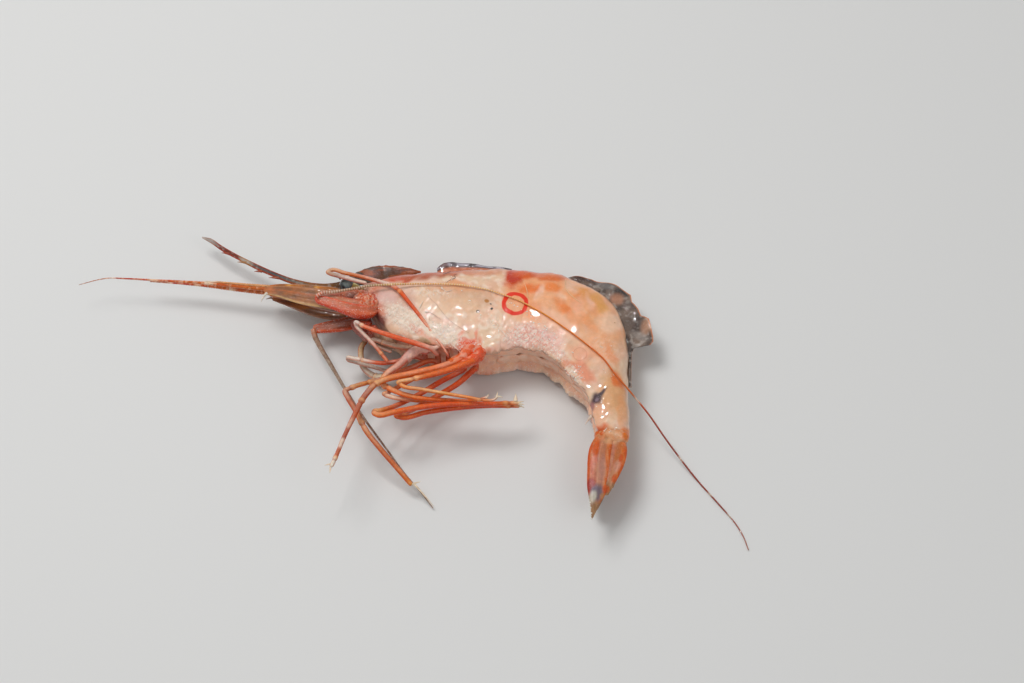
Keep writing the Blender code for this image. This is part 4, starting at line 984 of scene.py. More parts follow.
LONG_LASH_BANDS = (
    (0.0, (206, 90, 60)), (0.03, (176, 130, 104)), (0.1, (160, 124, 84)), (0.13, (214, 164, 104)),
    (0.2, (240, 172, 112)), (0.24, (252, 196, 138)), (0.3, (254, 198, 134)), (0.36, (252, 180, 114)),
    (0.42, (248, 162, 94)), (0.48, (242, 136, 68)), (0.56, (232, 112, 50)), (0.64, (224, 120, 66)),
    (0.68, (196, 78, 42)), (0.76, (168, 62, 38)), (0.90, (166, 58, 34)), (0.95, (176, 80, 54)),
    (1.0, (190, 110, 80)),
)
# The middle and half width of each white band, and how many beads of paint stand along the lash.
LASH_WHITE = ((0.655, 0.008), (0.785, 0.006), (0.87, 0.005), (0.925, 0.006))
LASH_BEADS = 222.2
long_path = np.concatenate([places(LASH_AT_HEAD), on_flank(LASH_OVER_FLANK), places(LASH_BEHIND)])
lash, length = carried(long_path, LONG_LASH_RADII, sides=10, spacing=0.045)
lash_paint = banded(length[:, None], LONG_LASH_BANDS)
for middle, wide in LASH_WHITE:
    white = np.exp(-(((length - middle) / wide) ** 2))
    lash_paint = lay(lash_paint, tint(236, 214, 196), white[:, None])
beaded = 0.5 + 0.5 * np.cos(2 * pi * length * LASH_BEADS)
dark_beads = 0.55 * beaded**2 * ease(0.66, 0.7, length)
lash_paint = lay(lash_paint, tint(66, 30, 24), dark_beads[:, None])
bright_beads = 0.7 * (1 - beaded) ** 2 * ease(0.42, 0.3, length)
lash_paint = lay(lash_paint, tint(250, 236, 214), bright_beads[:, None])
lash = ringed(lash, length, 0.2, 0.22)
skins = [
    (left_base, base_paint, 0.6), (lump, lump_paint, 1.0), (fold, fold_paint, 0.6), (lash, lash_paint, 0.15),
]
add_piece(
    "second_feeler_left", skins, base_finish, "antenna_shell", "antenna_base_left", "antenna_left_near",
    "antenna_left_middle", "antenna_left_far",
)

RIGHT_BASE = ((370, 318.5, 1.9), (355, 322, 2.0), (341, 325, 2.1), (327, 327.3, 2.15), (312.8, 329.5, 2.2))
HANGING_LASH = (
    (313.5, 330, 2.3), (314.8, 336, 2.3), (318, 343, 2.3), (330, 363.5, 2.3), (345, 389, 2.3),
    (361, 414, 2.1), (385, 447, 1.6), (405, 474, 0.9), (420, 491.5, 0.5), (433, 508, 0.3),
)
HANGING_BANDS = (
    (0.0, (206, 120, 88)), (0.05, (156, 122, 100)), (0.2, (142, 114, 94)), (0.35, (156, 128, 108)),
    (0.45, (142, 112, 92)), (0.6, (116, 78, 58)), (0.85, (110, 74, 54)), (1.0, (160, 130, 110)),
)
right_base, length, over_leaf = leaf(
    places(RIGHT_BASE), (0.95, 0.85, 0.84, 0.8, 0.66, 0.5), (0.75, 0.5, 0.45, 0.4), (0, 1, 0), ridge=0.2,
    groove=0.45, tip=0.05,
)
base_paint = lay(tint(178, 112, 96), tint(212, 148, 126), 0.6 * cloud(right_base, 0.6, 33))
for middle in (0.95, -0.95):
    base_paint = lay(base_paint, tint(222, 92, 58), stripe(over_leaf, middle, 0.26, 0.95))
base_paint = lay(base_paint, tint(170, 70, 56), 0.7 * ease(0.35, 0.1, length)[:, None])
lash, length = carried(
    places(HANGING_LASH), (0.34, 0.27, 0.22, 0.18, 0.15, 0.12, 0.10, 0.09, 0.06), sides=12, spacing=0.05,
)
pale = ease(0.4, 0.85, cloud(lash, 0.2, 37))
lash_paint = lay(banded(length[:, None], HANGING_BANDS), tint(206, 188, 172), 0.35 * pale)
lash = ringed(lash, length, 0.22, 0.2)
add_piece(
    "second_feeler_right", [(right_base, base_paint, 0.7), (lash, lash_paint, 0.2)],
    base_finish, "antenna_shell", "antenna_base_right", "antenna_right_near", "antenna_right_far",
)


# The legs and the third maxillipeds: thin tubes of wet shell in a few lengths, swollen at the joints. They
# are thrown together under the chest, and each grows from a hip sunk in the breast.
HIP_DEPTHS = (1.1, 0.45, -0.15)


def body_point(station, depth, across):
    """A point by its depth from the edge line towards the back, along the ring, and its way from the mid
    plane."""
    x, y, half_x, half_y, _, _ = body_at(station)[0]
    along = depth / np.hypot(half_x, half_y) - 1
    return np.array([x + half_x * along, y + half_y * along, MID_HEIGHT + across])


def hip_path(station, side):
    """The hip, sunk in the breast, and a place below it that clears the shell's edge."""
    across = side * 0.5 * (EDGE_SHARE * body_at(station)[0][4] - SHELL_WALL)
    return np.array([body_point(station, deep, wide * across) for deep, wide in zip(HIP_DEPTHS, (1, 1, 1.1))])


# Each limb: its hip's station and side, its places, its radii from hip to tip, the shares of its length
# where the joints are, and its colours along it. The places of the left leg 2 follow in three parts,
# because it lies over the flank and loops beside the head.
LIMBS = {
    "leg_1_left": (
        3.25, 1,
        ((431, 348.5, 5.3), (418, 344, 5.9), (400, 338.5, 6.0), (380, 332, 5.75), (363, 325.8, 5.5),
         (355.5, 322.3, 5.35), (356.5, 326, 4.95), (361, 331, 4.75), (373, 343.5, 4.4), (388, 362, 3.9)),
        (0.3, 0.3, 0.32, 0.32, 0.3, 0.26, 0.23, 0.22, 0.22, 0.2), (0.62, 0.93),
        ((0.0, (238, 196, 176)), (0.14, (236, 176, 154)), (0.26, (226, 108, 78)), (0.5, (218, 86, 52)),
         (0.6, (220, 104, 72)), (0.63, (234, 214, 200)), (0.72, (228, 206, 192)), (0.84, (216, 176, 158)),
         (0.92, (208, 120, 90)), (1.0, (208, 100, 66))),
    ),
    "leg_2_left": (
        3.75, 1, (), (0.12, 0.14, 0.18, 0.22, 0.25, 0.24, 0.22, 0.25, 0.27, 0.2), (0.45,),
        ((0.0, (236, 176, 154)), (0.12, (234, 150, 124)), (0.2, (236, 178, 152)), (0.27, (232, 146, 116)),
         (0.31, (216, 84, 48)), (0.45, (220, 88, 50)), (0.49, (226, 160, 134)), (0.54, (222, 190, 174)),
         (0.59, (196, 116, 86)), (0.70, (206, 124, 84)), (0.78, (214, 156, 112)), (0.81, (186, 140, 104)),
         (0.86, (150, 118, 104)), (0.92, (204, 176, 164)), (1.0, (226, 196, 176))),
    ),
    "leg_3_left": (
        2.75, 1,
        ((418, 349, 4.4), (400, 364, 4.3), (384, 378.5, 4.1), (383, 384, 4.15), (390, 388.7, 4.5),
         (413, 396.8, 5.0), (450, 400.3, 5.0), (478, 399.8, 4.85), (489, 396, 4.85)),
        (0.38, 0.42, 0.45, 0.42, 0.34, 0.3, 0.3, 0.28, 0.24, 0.2, 0.1), (0.36, 0.42, 0.92),
        ((0.0, (230, 176, 160)), (0.15, (224, 176, 166)), (0.28, (212, 146, 122)), (0.38, (230, 150, 100)),
         (0.44, (226, 130, 80)), (0.6, (220, 104, 46)), (0.85, (214, 86, 28)), (0.95, (214, 110, 60)),
         (1.0, (244, 226, 206))),
    ),
    "leg_4_left": (
        4.3, 1,
        ((464, 358, 5.0), (445, 365.5, 5.0), (410, 374, 5.0), (384, 380, 5.0), (376.5, 383.5, 5.05),
         (367, 393, 5.35), (353, 418, 5.7), (344, 437, 6.0), (335, 458.5, 6.3), (331, 467, 6.4)),
        (0.36, 0.4, 0.43, 0.43, 0.38, 0.35, 0.33, 0.29, 0.25, 0.24, 0.24), (0.5, 0.62, 0.95),
        ((0.0, (234, 112, 80)), (0.2, (232, 126, 84)), (0.4, (226, 130, 86)), (0.5, (222, 150, 96)),
         (0.56, (156, 84, 64)), (0.66, (170, 84, 56)), (0.71, (186, 88, 58)), (0.74, (196, 140, 116)),
         (0.775, (196, 140, 116)), (0.79, (150, 58, 36)), (0.835, (158, 66, 42)), (0.85, (212, 186, 164)),
         (0.885, (212, 186, 164)), (0.9, (178, 84, 56)), (0.94, (184, 90, 62)), (0.955, (232, 220, 200)),
         (1.0, (236, 226, 204))),
    ),
    "leg_5_left": (
        4.85, 1,
        ((475, 360.5, 5.3), (445, 371, 5.85), (412, 379.4, 5.75), (399, 383, 5.8), (402, 385.5, 5.9),
         (421, 389.2, 5.95), (445, 393.3, 6.0), (470, 397.6, 6.0), (486, 400.3, 5.9), (494, 399.5, 5.9),
         (498, 395.5, 5.9)),
        (0.36, 0.4, 0.4, 0.36, 0.27, 0.24, 0.23, 0.21, 0.19, 0.14), (0.42, 0.5, 0.9),
        ((0.0, (228, 90, 54)), (0.2, (222, 96, 46)), (0.38, (214, 96, 42)), (0.45, (230, 166, 108)),
         (0.56, (224, 140, 82)), (0.7, (230, 158, 96)), (0.85, (222, 114, 46)), (0.94, (218, 130, 80)),
         (1.0, (244, 228, 206))),
    ),
    "leg_1_right": (
        2.7, -1,
        ((416, 356.5, 2.85), (400, 360.5, 3.15), (384, 363, 3.15), (354, 358.4, 3.05), (347.5, 357.6, 2.75),
         (348, 359.6, 2.4), (354, 361.6, 2.2), (370, 366.2, 2.15), (388, 371.5, 2.15)),
        (0.28, 0.28, 0.27, 0.26, 0.24, 0.25, 0.23, 0.22, 0.2), (0.55,),
        ((0.0, (206, 140, 122)), (0.3, (206, 110, 88)), (0.45, (212, 104, 78)), (0.53, (226, 196, 176)),
         (0.6, (232, 214, 196)), (0.72, (206, 190, 174)), (1.0, (206, 186, 170))),
    ),
    "leg_2_right": (
        3.75, -1,
        ((436, 366, 2.5), (420, 375, 2.95), (400, 386, 3.5), (389, 391.7, 3.85), (384.5, 394.3, 4.15),
         (391, 396.8, 4.2), (408, 399.3, 4.2), (430, 401.5, 4.25), (452, 403, 4.15), (474, 404, 3.9)),
        (0.28, 0.27, 0.26, 0.26, 0.26, 0.27, 0.26, 0.24, 0.22), (0.5,),
        ((0.0, (210, 96, 62)), (0.3, (210, 100, 60)), (0.46, (218, 136, 90)), (0.53, (230, 196, 168)),
         (0.64, (226, 160, 118)), (0.75, (218, 104, 44)), (1.0, (216, 96, 36))),
    ),
    "leg_3_right": (
        3.3, -1,
        ((434, 361, 2.55), (412, 367.5, 2.95), (384, 378.3, 3.15), (352, 387.5, 3.45), (345, 391, 3.7),
         (347.5, 397, 3.9), (355, 409.5, 4.1), (368, 433.5, 4.15), (378, 446, 3.6), (400, 471.5, 2.2),
         (412, 485.5, 1.55)),
        (0.3, 0.32, 0.31, 0.28, 0.28, 0.29, 0.31, 0.31, 0.3, 0.29, 0.27), (0.36, 0.44, 0.66),
        ((0.0, (208, 108, 74)), (0.25, (206, 106, 66)), (0.32, (176, 130, 112)), (0.37, (216, 136, 78)),
         (0.42, (206, 138, 90)), (0.5, (190, 130, 104)), (0.54, (164, 76, 46)), (0.60, (180, 94, 60)),
         (0.66, (210, 150, 108)), (0.75, (190, 100, 56)), (0.86, (192, 88, 42)), (0.97, (208, 112, 56)),
         (1.0, (220, 150, 86))),
    ),
    "leg_4_right": (
        4.3, -1,
        ((464, 368, 2.7), (440, 382, 3.0), (418, 395, 3.2), (403, 402.5, 3.4), (391, 407.5, 4.4),
         (381, 410.5, 5.2), (374, 412.5, 5.75), (379, 415, 6.05), (392, 412.5, 6.1), (425, 406.5, 5.8),
         (452, 404, 5.4), (485, 404, 5.0), (513, 403, 4.6), (519.5, 403, 4.5)),
        (0.32, 0.32, 0.32, 0.3, 0.3, 0.34, 0.34, 0.32, 0.3, 0.27, 0.24), (0.46, 0.95),
        ((0.0, (220, 86, 54)), (0.25, (212, 86, 48)), (0.40, (212, 104, 66)), (0.46, (236, 160, 106)),
         (0.52, (220, 104, 46)), (0.6, (216, 78, 22)), (0.7, (214, 70, 14)), (0.9, (214, 72, 18)),
         (0.96, (226, 120, 62)), (1.0, (246, 206, 160))),
    ),
    "leg_5_right": (
        4.85, -1,
        ((475, 369, 2.8), (458, 383.5, 3.0), (440, 394.5, 3.2), (424, 403.5, 3.45), (413, 409.5, 4.0),
         (404, 413.5, 4.7), (396.5, 416, 5.05), (402, 417.5, 5.2), (425, 412.5, 5.0), (452, 408.5, 4.7),
         (485, 406, 4.3), (513, 406, 4.0), (520.5, 406, 3.9)),
        (0.34, 0.34, 0.33, 0.32, 0.3, 0.3, 0.3, 0.29, 0.26, 0.22), (0.46, 0.95),
        ((0.0, (224, 84, 50)), (0.3, (214, 86, 46)), (0.45, (214, 116, 66)), (0.52, (218, 86, 28)),
         (0.65, (212, 64, 12)), (0.9, (212, 66, 12)), (0.97, (214, 96, 44)), (1.0, (238, 196, 150))),
    ),
    "maxilliped_right": (
        2.05, -1,
        ((404, 362.5, 1.6), (391, 375.5, 1.5), (378, 377.5, 1.4), (368, 372.5, 1.4), (363, 367, 1.4),
         (361, 357, 1.4), (361.5, 347, 1.5), (366, 340, 1.6)),
        (0.3, 0.4, 0.55, 0.62, 0.5, 0.32, 0.3, 0.32, 0.3), (0.55,),
        ((0.0, (212, 196, 164)), (0.4, (218, 204, 170)), (0.52, (216, 202, 172)), (0.65, (206, 190, 170)),
         (0.85, (196, 168, 130)), (1.0, (170, 130, 96))),
    ),
    "maxilliped_left": (
        2.05, 1,
        ((398, 346.5, 4.45), (386, 343.5, 4.2), (372, 340, 3.75), (370, 341.5, 3.35), (378, 346, 3.3),
         (392, 352, 3.3)),
        (0.3, 0.32, 0.3, 0.28, 0.25, 0.2), (0.5,),
        ((0.0, (190, 160, 136)), (0.4, (176, 144, 120)), (0.6, (190, 166, 146)), (1.0, (200, 170, 150))),
    ),
}
# Claws and spines of a limb: the places of root and tip, and the radius at the root.
CLAWS = {
    "leg_4_left": (
        ((332, 464, 6.35), (324.5, 465.3, 6.3), 0.13), ((330.5, 467, 6.4), (329.6, 473, 6.35), 0.13),
    ),
    "leg_3_right": (
        ((411, 484.8, 1.6), (420.8, 481.5, 1.5), 0.16), ((413, 483, 1.6), (434, 506.5, 0.5), 0.14),
    ),
    "leg_3_left": (((486, 398.5, 4.85), (489, 393.8, 4.85), 0.14),),
    "leg_5_left": (
        ((496, 398.5, 5.9), (497.6, 391.6, 5.9), 0.16), ((498, 396.5, 5.9), (503, 397.5, 5.85), 0.12),
    ),
    "leg_4_right": (
        ((515.2, 402, 4.6), (515.8, 393.4, 4.7), 0.3), ((518, 402.5, 4.5), (524, 401.4, 4.5), 0.14),
        ((518, 403.8, 4.5), (524.5, 405, 4.45), 0.12),
    ),
    "leg_5_right": (((519, 406, 3.95), (524.5, 407.8, 3.9), 0.14),),
}

# Soft red flesh draws the roots of some legs into the flank: places, radii and colours of each cone.
LEG_ROOTS = {
    "leg_5_left": (
        ((482, 341, 5.25), (481, 350, 5.3), (475, 358.5, 5.25), (461, 365.2, 5.5)),
        (0.25, 0.72, 0.62, 0.42),
    ),
    "leg_4_left": (
        ((471, 338, 5.4), (471, 347, 5.35), (464, 356, 5.05), (450, 363.3, 5.0)), (0.25, 0.72, 0.6, 0.44),
    ),
    "leg_3_left": (
        ((443, 345, 5.2), (432, 348.5, 5.0), (418, 350, 4.5), (406, 359, 4.35)), (0.12, 0.36, 0.45, 0.46),
    ),
}
ROOT_BANDS = {
    "leg_5_left": (
        (0.0, (236, 172, 144)), (0.3, (230, 96, 64)), (0.65, (226, 92, 58)), (1.0, (226, 94, 50)),
    ),
    "leg_4_left": (
        (0.0, (236, 160, 132)), (0.3, (230, 110, 80)), (0.65, (234, 128, 98)), (1.0, (233, 120, 82)),
    ),
    "leg_3_left": (
        (0.0, (240, 206, 188)), (0.4, (238, 200, 184)), (0.7, (230, 184, 168)), (1.0, (224, 176, 166)),
    ),
}

FORELEG_ROOT = ((447, 353.5, 5.2), (443, 347, 5.55))
FORELEG_OVER_FLANK = (
    (434, 335, -0.25), (420, 316, 0.0), (408, 301, 0.25), (398, 289.5, 0.4), (390, 284.6, 0.47),
    (381, 282, 0.5),
)
FORELEG_LOOP = (
    (365, 277.5, 5.8), (345, 273, 5.5), (331, 270.2, 5.2), (328, 271.9, 5.25), (331, 273.8, 5.5),
    (337, 275.4, 5.9), (344, 277.2, 6.1), (355, 280.4, 6.1), (367, 283.2, 5.8),
)
LIMB_SIDES = 20

leg_finish = wet_finish(
    "leg_shell", mottle=0.14, mottle_size=0.35, bump=0.5, bump_size=0.12, glint_flecks=0.2, coat=0.8, vivid=1.14,
)
for name, (station, side, rows, radii, joints, bands) in LIMBS.items():
    if rows:
        below_hip = [places(rows)]
    else:
        below_hip = [places(FORELEG_ROOT), on_flank(FORELEG_OVER_FLANK), places(FORELEG_LOOP)]
    path = np.concatenate([hip_path(station, side), *below_hip])
    tube, length = carried(path, radii, sides=LIMB_SIDES, flat=0.85, spacing=0.08, tip=0.012)
    centre = tube.mean(1, keepdims=True)
    ring = sum(np.exp(-(((length - joint) / 0.010) ** 2)) for joint in joints)[:, None]
    seam = sum(np.exp(-(((length - joint - 0.013) / 0.006) ** 2)) for joint in joints)[:, None]
    tube = centre + (tube - centre) * (1 + 0.20 * ring - 0.16 * seam)[..., None]
    # Paint round the tube: paler over its upper and lower faces and redder at its two sides, partly the clear
    # shell's own look and partly painted sheen, as a glassy tube shows from above.
    around = np.sin(np.linspace(0, 2 * pi, LIMB_SIDES, endpoint=False))[None, :]
    groove = 0.14 * np.exp(-(((np.abs(around) - 0.6) / 0.16) ** 2))
    tube = centre + (tube - centre) * (1 - groove)[..., None]
    tube[..., 2] = np.maximum(tube[..., 2], LOWEST)
    limb_paint = banded(length[:, None], bands)
    pale = ease(0.25, 0.95, np.abs(around + 0.1)) * (0.25 + 0.5 * cloud(tube * (0.5, 0.5, 1), 0.9, 41))
    limb_paint = lay(limb_paint, 0.75 * limb_paint**0.6 + 0.25 * tint(244, 214, 200), 0.8 * pale)
    limb_paint = edged(tube, limb_paint, tint(208, 62, 20), 0.45)
    limb_paint = lay(limb_paint, tint(238, 186, 140), 0.55 * ring)
    limb_paint = lay(limb_paint, tint(150, 52, 34), 0.5 * seam)
    skins = [(tube, limb_paint, 0.6)]
    if name in LEG_ROOTS:
        root_places, root_radii = LEG_ROOTS[name]
        cone, along = carried(places(root_places), root_radii, sides=24, spacing=0.06)
        cone = roughened(cone, (cloud(cone, 0.5, 53) - 0.5) * 0.3)
        pale = ease(0.5, 0.9, cloud(cone, 0.35, 54))
        cone_paint = lay(banded(along[:, None], ROOT_BANDS[name]), tint(240, 196, 176), 0.5 * pale)
        skins.append((cone, cone_paint, 0.9))
    for root, tip, radius in CLAWS.get(name, ()):
        claw = thorn(seen(*root), seen(*tip), radius, (0.02, 0.04, 0))
        skins.append((claw, tint(232, 214, 190), 0.1))
    nodes_of_limb = [f"{name}_upper", f"{name}_lower"] if f"{name}_upper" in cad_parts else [name]
    add_piece(f"{name}_limb", skins, leg_finish, "leg_shell", *nodes_of_limb)


# The mouth limbs are a small dark red bundle under the front of the head, folded together over the mouth,
# with grey gill showing behind it.
MOUTH = ((352, 322.5, 3.9), (362, 328, 3.7), (372, 334, 3.5), (382, 340, 3.3), (396, 346, 3.2))
mouth, length, _ = leaf(
    places(MOUTH), (0.6, 1.15, 1.3, 1.1, 0.9, 0.5), (0.4, 0.75, 0.8, 0.7, 0.4), (0, 0, 1),
)
mouth = roughened(mouth, (cloud(mouth, 0.45, 52) - 0.5) * 0.5)
mouth_paint = lay(tint(140, 56, 44), tint(190, 110, 90), 0.6 * cloud(mouth, 0.4, 51))
mouth_paint = lay(mouth_paint, tint(176, 150, 126), 0.9 * ease(0.45, 0.65, length)[:, None])
add_piece("mouth_limbs", [(mouth, mouth_paint, 1.0)], leg_finish, "antenna_shell", "mouthparts")


# The tail fan: the telson and two pairs of side blades, shut like a fan. They are thin shell with orange and
# grey-pink streaks along them, a glassy patch near the end and a row of clear beads on the left rim. Each
# blade has its places, the way across it, and its half widths and half thicknesses from root to tip.
TAIL_FAN = {
    "telson": (
        ((621, 438, 3.2), (617.5, 460, 3.2), (609, 488, 3.2)), (0, 0, 1), (0.75, 0.66, 0.5, 0.28),
        (0.55, 0.5, 0.34),
    ),
    "uropod_outer_left": (
        ((606, 433, 4.4), (600, 452, 4.62), (598.5, 472, 4.62), (597, 490, 4.55), (592, 519, 4.45)),
        (1, 0, 0), (0.75, 1.15, 1.24, 1.2, 1.05, 0.5, 0.06), (0.3, 0.24, 0.12),
    ),
    "uropod_inner_left": (
        ((615, 435, 3.95), (614.0, 455, 4.4), (610.8, 470, 4.45), (605.6, 489, 4.4), (603.4, 495, 4.3)),
        (1, 0, 0), (0.7, 1.3, 1.35, 1.15, 0.78, 0.45), (0.34, 0.3, 0.2),
    ),
    "uropod_inner_right": (
        ((611, 442, 2.4), (606, 462, 2.3), (600, 485, 2.3), (595, 508, 2.4)), (1, 0, 0),
        (0.55, 1.0, 1.05, 0.8, 0.3), (0.25, 0.22, 0.12),
    ),
    "uropod_outer_right": (
        ((607, 444, 1.8), (601, 464, 1.65), (597.5, 488, 1.65), (594, 511, 1.75)), (1, 0, 0),
        (0.55, 1.05, 1.1, 0.9, 0.3), (0.25, 0.22, 0.12),
    ),
}
FAN_BANDS = (
    (0.0, (228, 160, 116)), (0.12, (218, 142, 104)), (0.4, (206, 126, 98)), (0.6, (204, 120, 88)),
    (0.72, (190, 116, 88)), (0.84, (150, 112, 82)), (1.0, (170, 134, 96)),
)
# Streaks along a blade: how far across it, how wide, the colour and how fully it covers.
FAN_STREAKS = (
    (-0.92, 0.2, (214, 92, 42), 0.9), (-0.62, 0.16, (212, 120, 92), 0.7), (-0.35, 0.14, (196, 104, 76), 0.6),
    (-0.1, 0.2, (176, 126, 112), 0.7), (0.18, 0.12, (206, 150, 122), 0.6), (0.4, 0.16, (166, 116, 96), 0.6),
    (0.62, 0.12, (216, 122, 70), 0.7), (0.92, 0.18, (216, 92, 40), 0.9),
)
FAN_PATCHES = (
    (590.5, 485, 4, 7.5, 12, (158, 30, 14), 0.9), (597, 492.5, 6.5, 8.5, 20, (112, 98, 108), 0.95),
    (592.5, 497, 3.8, 6.5, 20, (196, 188, 170), 0.85), (603, 496, 3.5, 3, 0, (196, 140, 92), 0.6),
    (587, 494, 1.5, 5, 0, (120, 40, 40), 0.7),
    (618, 452, 3, 12, 15, (206, 120, 70), 0.6), (612, 477, 3, 9, 20, (220, 160, 126), 0.7),
    (606, 489, 3.5, 4, 0, (214, 88, 36), 0.75), (611, 441, 8, 3, 0, (240, 196, 156), 0.5),
    (596.5, 448, 3, 8, 8, (220, 96, 44), 0.7), (594, 462, 3, 7, 8, (226, 146, 124), 0.6),
    (602, 470, 3.5, 14, 5, (198, 150, 138), 0.55), (617, 466, 3.5, 6, 20, (222, 166, 146), 0.6),
    (621, 458, 2, 4, 20, (206, 80, 30), 0.8), (614, 478, 2, 4, 20, (206, 84, 34), 0.8),
)
# The swollen collar where the blades are hinged: its place, its radii and its patches of paint.
COLLAR_PLACE = (612.2, 437, 4.05)
COLLAR_RADII = (1.98, 1.1, 0.85)
COLLAR_PATCHES = (
    (599, 434, 5, 6, 0, (220, 96, 50), 0.85), (626, 435, 4, 5, 0, (238, 122, 50), 0.85),
    (603, 440, 6, 1.6, 0, (224, 104, 60), 0.85),
)
# The beads along the rim stand between two seen rows, and get smaller towards the tip.
RIM_BEADS = 12
RIM_ROWS = (500, 529)
RIM_BEAD_RADII = (0.13, 0.078)
fan_finish = wet_finish(
    "fan_shell", mottle=0.12, bump=0.8, glint_flecks=0.25, roughness=0.32, vivid=1.12, bright=0.86,
)
for name, (rows, across, widths, thicknesses) in TAIL_FAN.items():
    fan, length, over_leaf = leaf(
        places(rows), widths, thicknesses, across, sides=56, spacing=0.09, ridge=0.3, groove=0.2, tip=0.03,
    )
    fan_at = seen_at(fan)
    fan_paint = banded(length[:, None], FAN_BANDS)
    worn = ease(0.02, 0.2, length)[:, None] * ease(0.85, 0.7, length)[:, None]
    worn = worn * (0.55 + 0.6 * cloud(fan * (1, 0.25, 1), 0.5, 62))
    for middle, wide, colour, cover in FAN_STREAKS:
        fan_paint = lay(fan_paint, tint(*colour), stripe(over_leaf, middle, wide, cover) * worn)
    fine_lines = ease(0.55, 0.85, cloud(fan * (1, 0.12, 1), 0.2, 63))
    fan_paint = lay(fan_paint, tint(226, 170, 130), 0.35 * fine_lines)
    fan_paint = patched(fan_paint, fan_at, FAN_PATCHES, 0.4)
    skins = [(fan, fan_paint, 0.35)]
    if name == "uropod_outer_left":
        collar = ball(seen(*COLLAR_PLACE), COLLAR_RADII, rows=28, sides=32)
        collar += (collar - collar.mean((0, 1))) * ((cloud(collar, 0.8, 65) - 0.5) * 0.16)[..., None]
        collar_paint = lay(tint(234, 164, 120), tint(244, 204, 172), 0.6 * cloud(collar, 0.4, 66))
        collar_paint = patched(collar_paint, seen_at(collar), COLLAR_PATCHES, 0.6)
        skins.append((collar, collar_paint, 0.8))
        fan_columns, fan_rows = (part.ravel() for part in fan_at)
        bead_rows = np.linspace(*RIM_ROWS, RIM_BEADS)[:, None]
        at_rim = np.argmin(30 * np.abs(fan_rows - bead_rows) + fan_columns, axis=1)
        for spot, size in zip(fan.reshape(-1, 3)[at_rim], np.linspace(*RIM_BEAD_RADII, RIM_BEADS)):
            skins.append((spot + bead * size, tint(250, 244, 234), 0.0))
    add_piece(f"{name}_blade", skins, fan_finish, "red_shell", name)


# The swimming legs are five pairs of small soft paddles. Each pair hangs from the belly of its own tail
# ring, and lies back, pressed flat in the hollow, over the root of the next pair.
for number in range(1, 6):
    start = 5.0 + number
    hollow_here = HOLLOW_SHARE * body_at(start + 0.3)[0][5]
    reach = EDGE_SHARE * body_at(start + 0.5)[0][4] - SHELL_WALL
    paddles = []
    for side in (1, -1):
        root = body_point(start - 0.2, 1.0 * hollow_here, side * 0.45 * reach)
        middle = body_point(start + 0.5, 0.93 * hollow_here, side * 0.5 * reach)
        tip = body_point(start + 1.15, 0.85 * hollow_here, side * 0.5 * reach)
        widths = (0.4, 0.56 * reach, 0.58 * reach, 0.54)
        paddle, _, over_leaf = leaf([root, middle, tip], widths, (0.2, 0.16, 0.08), (0, 0, 1), 20, tip=0.1)
        paddle_paint = lay(tint(244, 186, 154), tint(248, 208, 184), cloud(paddle, 0.5, 64))
        rims = ease(0.8, 1.0, np.abs(over_leaf))[None, :]
        paddles.append((paddle, lay(paddle_paint, tint(230, 150, 122), 0.4 * rims), 0.5))
    add_piece(f"swimmerets_{number}", paddles, flesh_finish, "red_shell", f"pleopods_{number}")


# Films of clear shell that have lifted off the back: a torn leaf that stands out behind the bend of the
# tail, and a strip along the carapace. Each is a crinkled sheet between the back and its own outer edge.
FILM_EDGE = (
    (562, 277.5), (577, 277.3), (592, 279), (601, 281.3), (608, 283), (616, 285.5), (624, 289),
    (631, 293.3), (632, 300.5), (634.5, 302.5), (638.5, 308), (641, 315), (645, 316.8), (649, 319.3),
    (651.6, 328), (653.4, 336), (653.4, 341.5), (650.3, 344.8), (645, 342.6), (640, 341.8), (634.5, 345.5),
    (632, 352), (631.5, 370), (631.5, 389),
)
STRIP_EDGE = (
    (437, 268.5), (440, 265.5), (443.5, 263.2), (452, 262.6), (462, 263.8), (478, 265.2), (492, 266.6),
    (504, 268.2), (512, 269.6),
)
film_finish = wet_finish(
    "clear_film", mottle=0.18, mottle_size=0.9, bump=0.7, bump_size=0.5, glint_flecks=0.12, roughness=0.2,
    soft=0.0, coat=1.0, alpha=0.88, vivid=1.1,
)


def film(edge, first, last, height, crease, seed):
    """A thin closed sheet from the back, between two stations, out to an edge of seen places: straight lines
    from back to edge, lifted by soft creases; `out` is nought at the back and one at the edge."""
    edge = np.array([seen(*seen_row, height) for seen_row in edge])
    along = np.concatenate([[0.0], np.cumsum(np.linalg.norm(np.diff(edge, axis=0), axis=1))])
    where = np.linspace(0, along[-1], 240)
    rim = np.stack([np.interp(where, along, edge[:, i]) for i in range(3)], axis=-1)
    x, y, half_x, half_y, _, _ = body_at(first + (last - first) * where / along[-1]).T
    root = np.column_stack([x + half_x * 0.93, y + half_y * 0.93, np.full(len(x), height)])
    turn = np.linspace(0, 2 * pi, 64, endpoint=False)
    out = 0.5 - 0.5 * np.cos(turn)
    points = root[:, None] + (rim - root)[:, None] * out[None, :, None]
    flat = points * (1, 1, 0)
    lift = (cloud(flat, 2.2, seed) - 0.5) * crease + (cloud(flat, 0.9, seed + 1) - 0.5) * 0.2 * crease
    points[..., 2] += lift * ease(0.1, 0.5, out) + 0.05 * np.sin(turn)
    return points, np.broadcast_to(out, points.shape[:2]), seen_at(points)


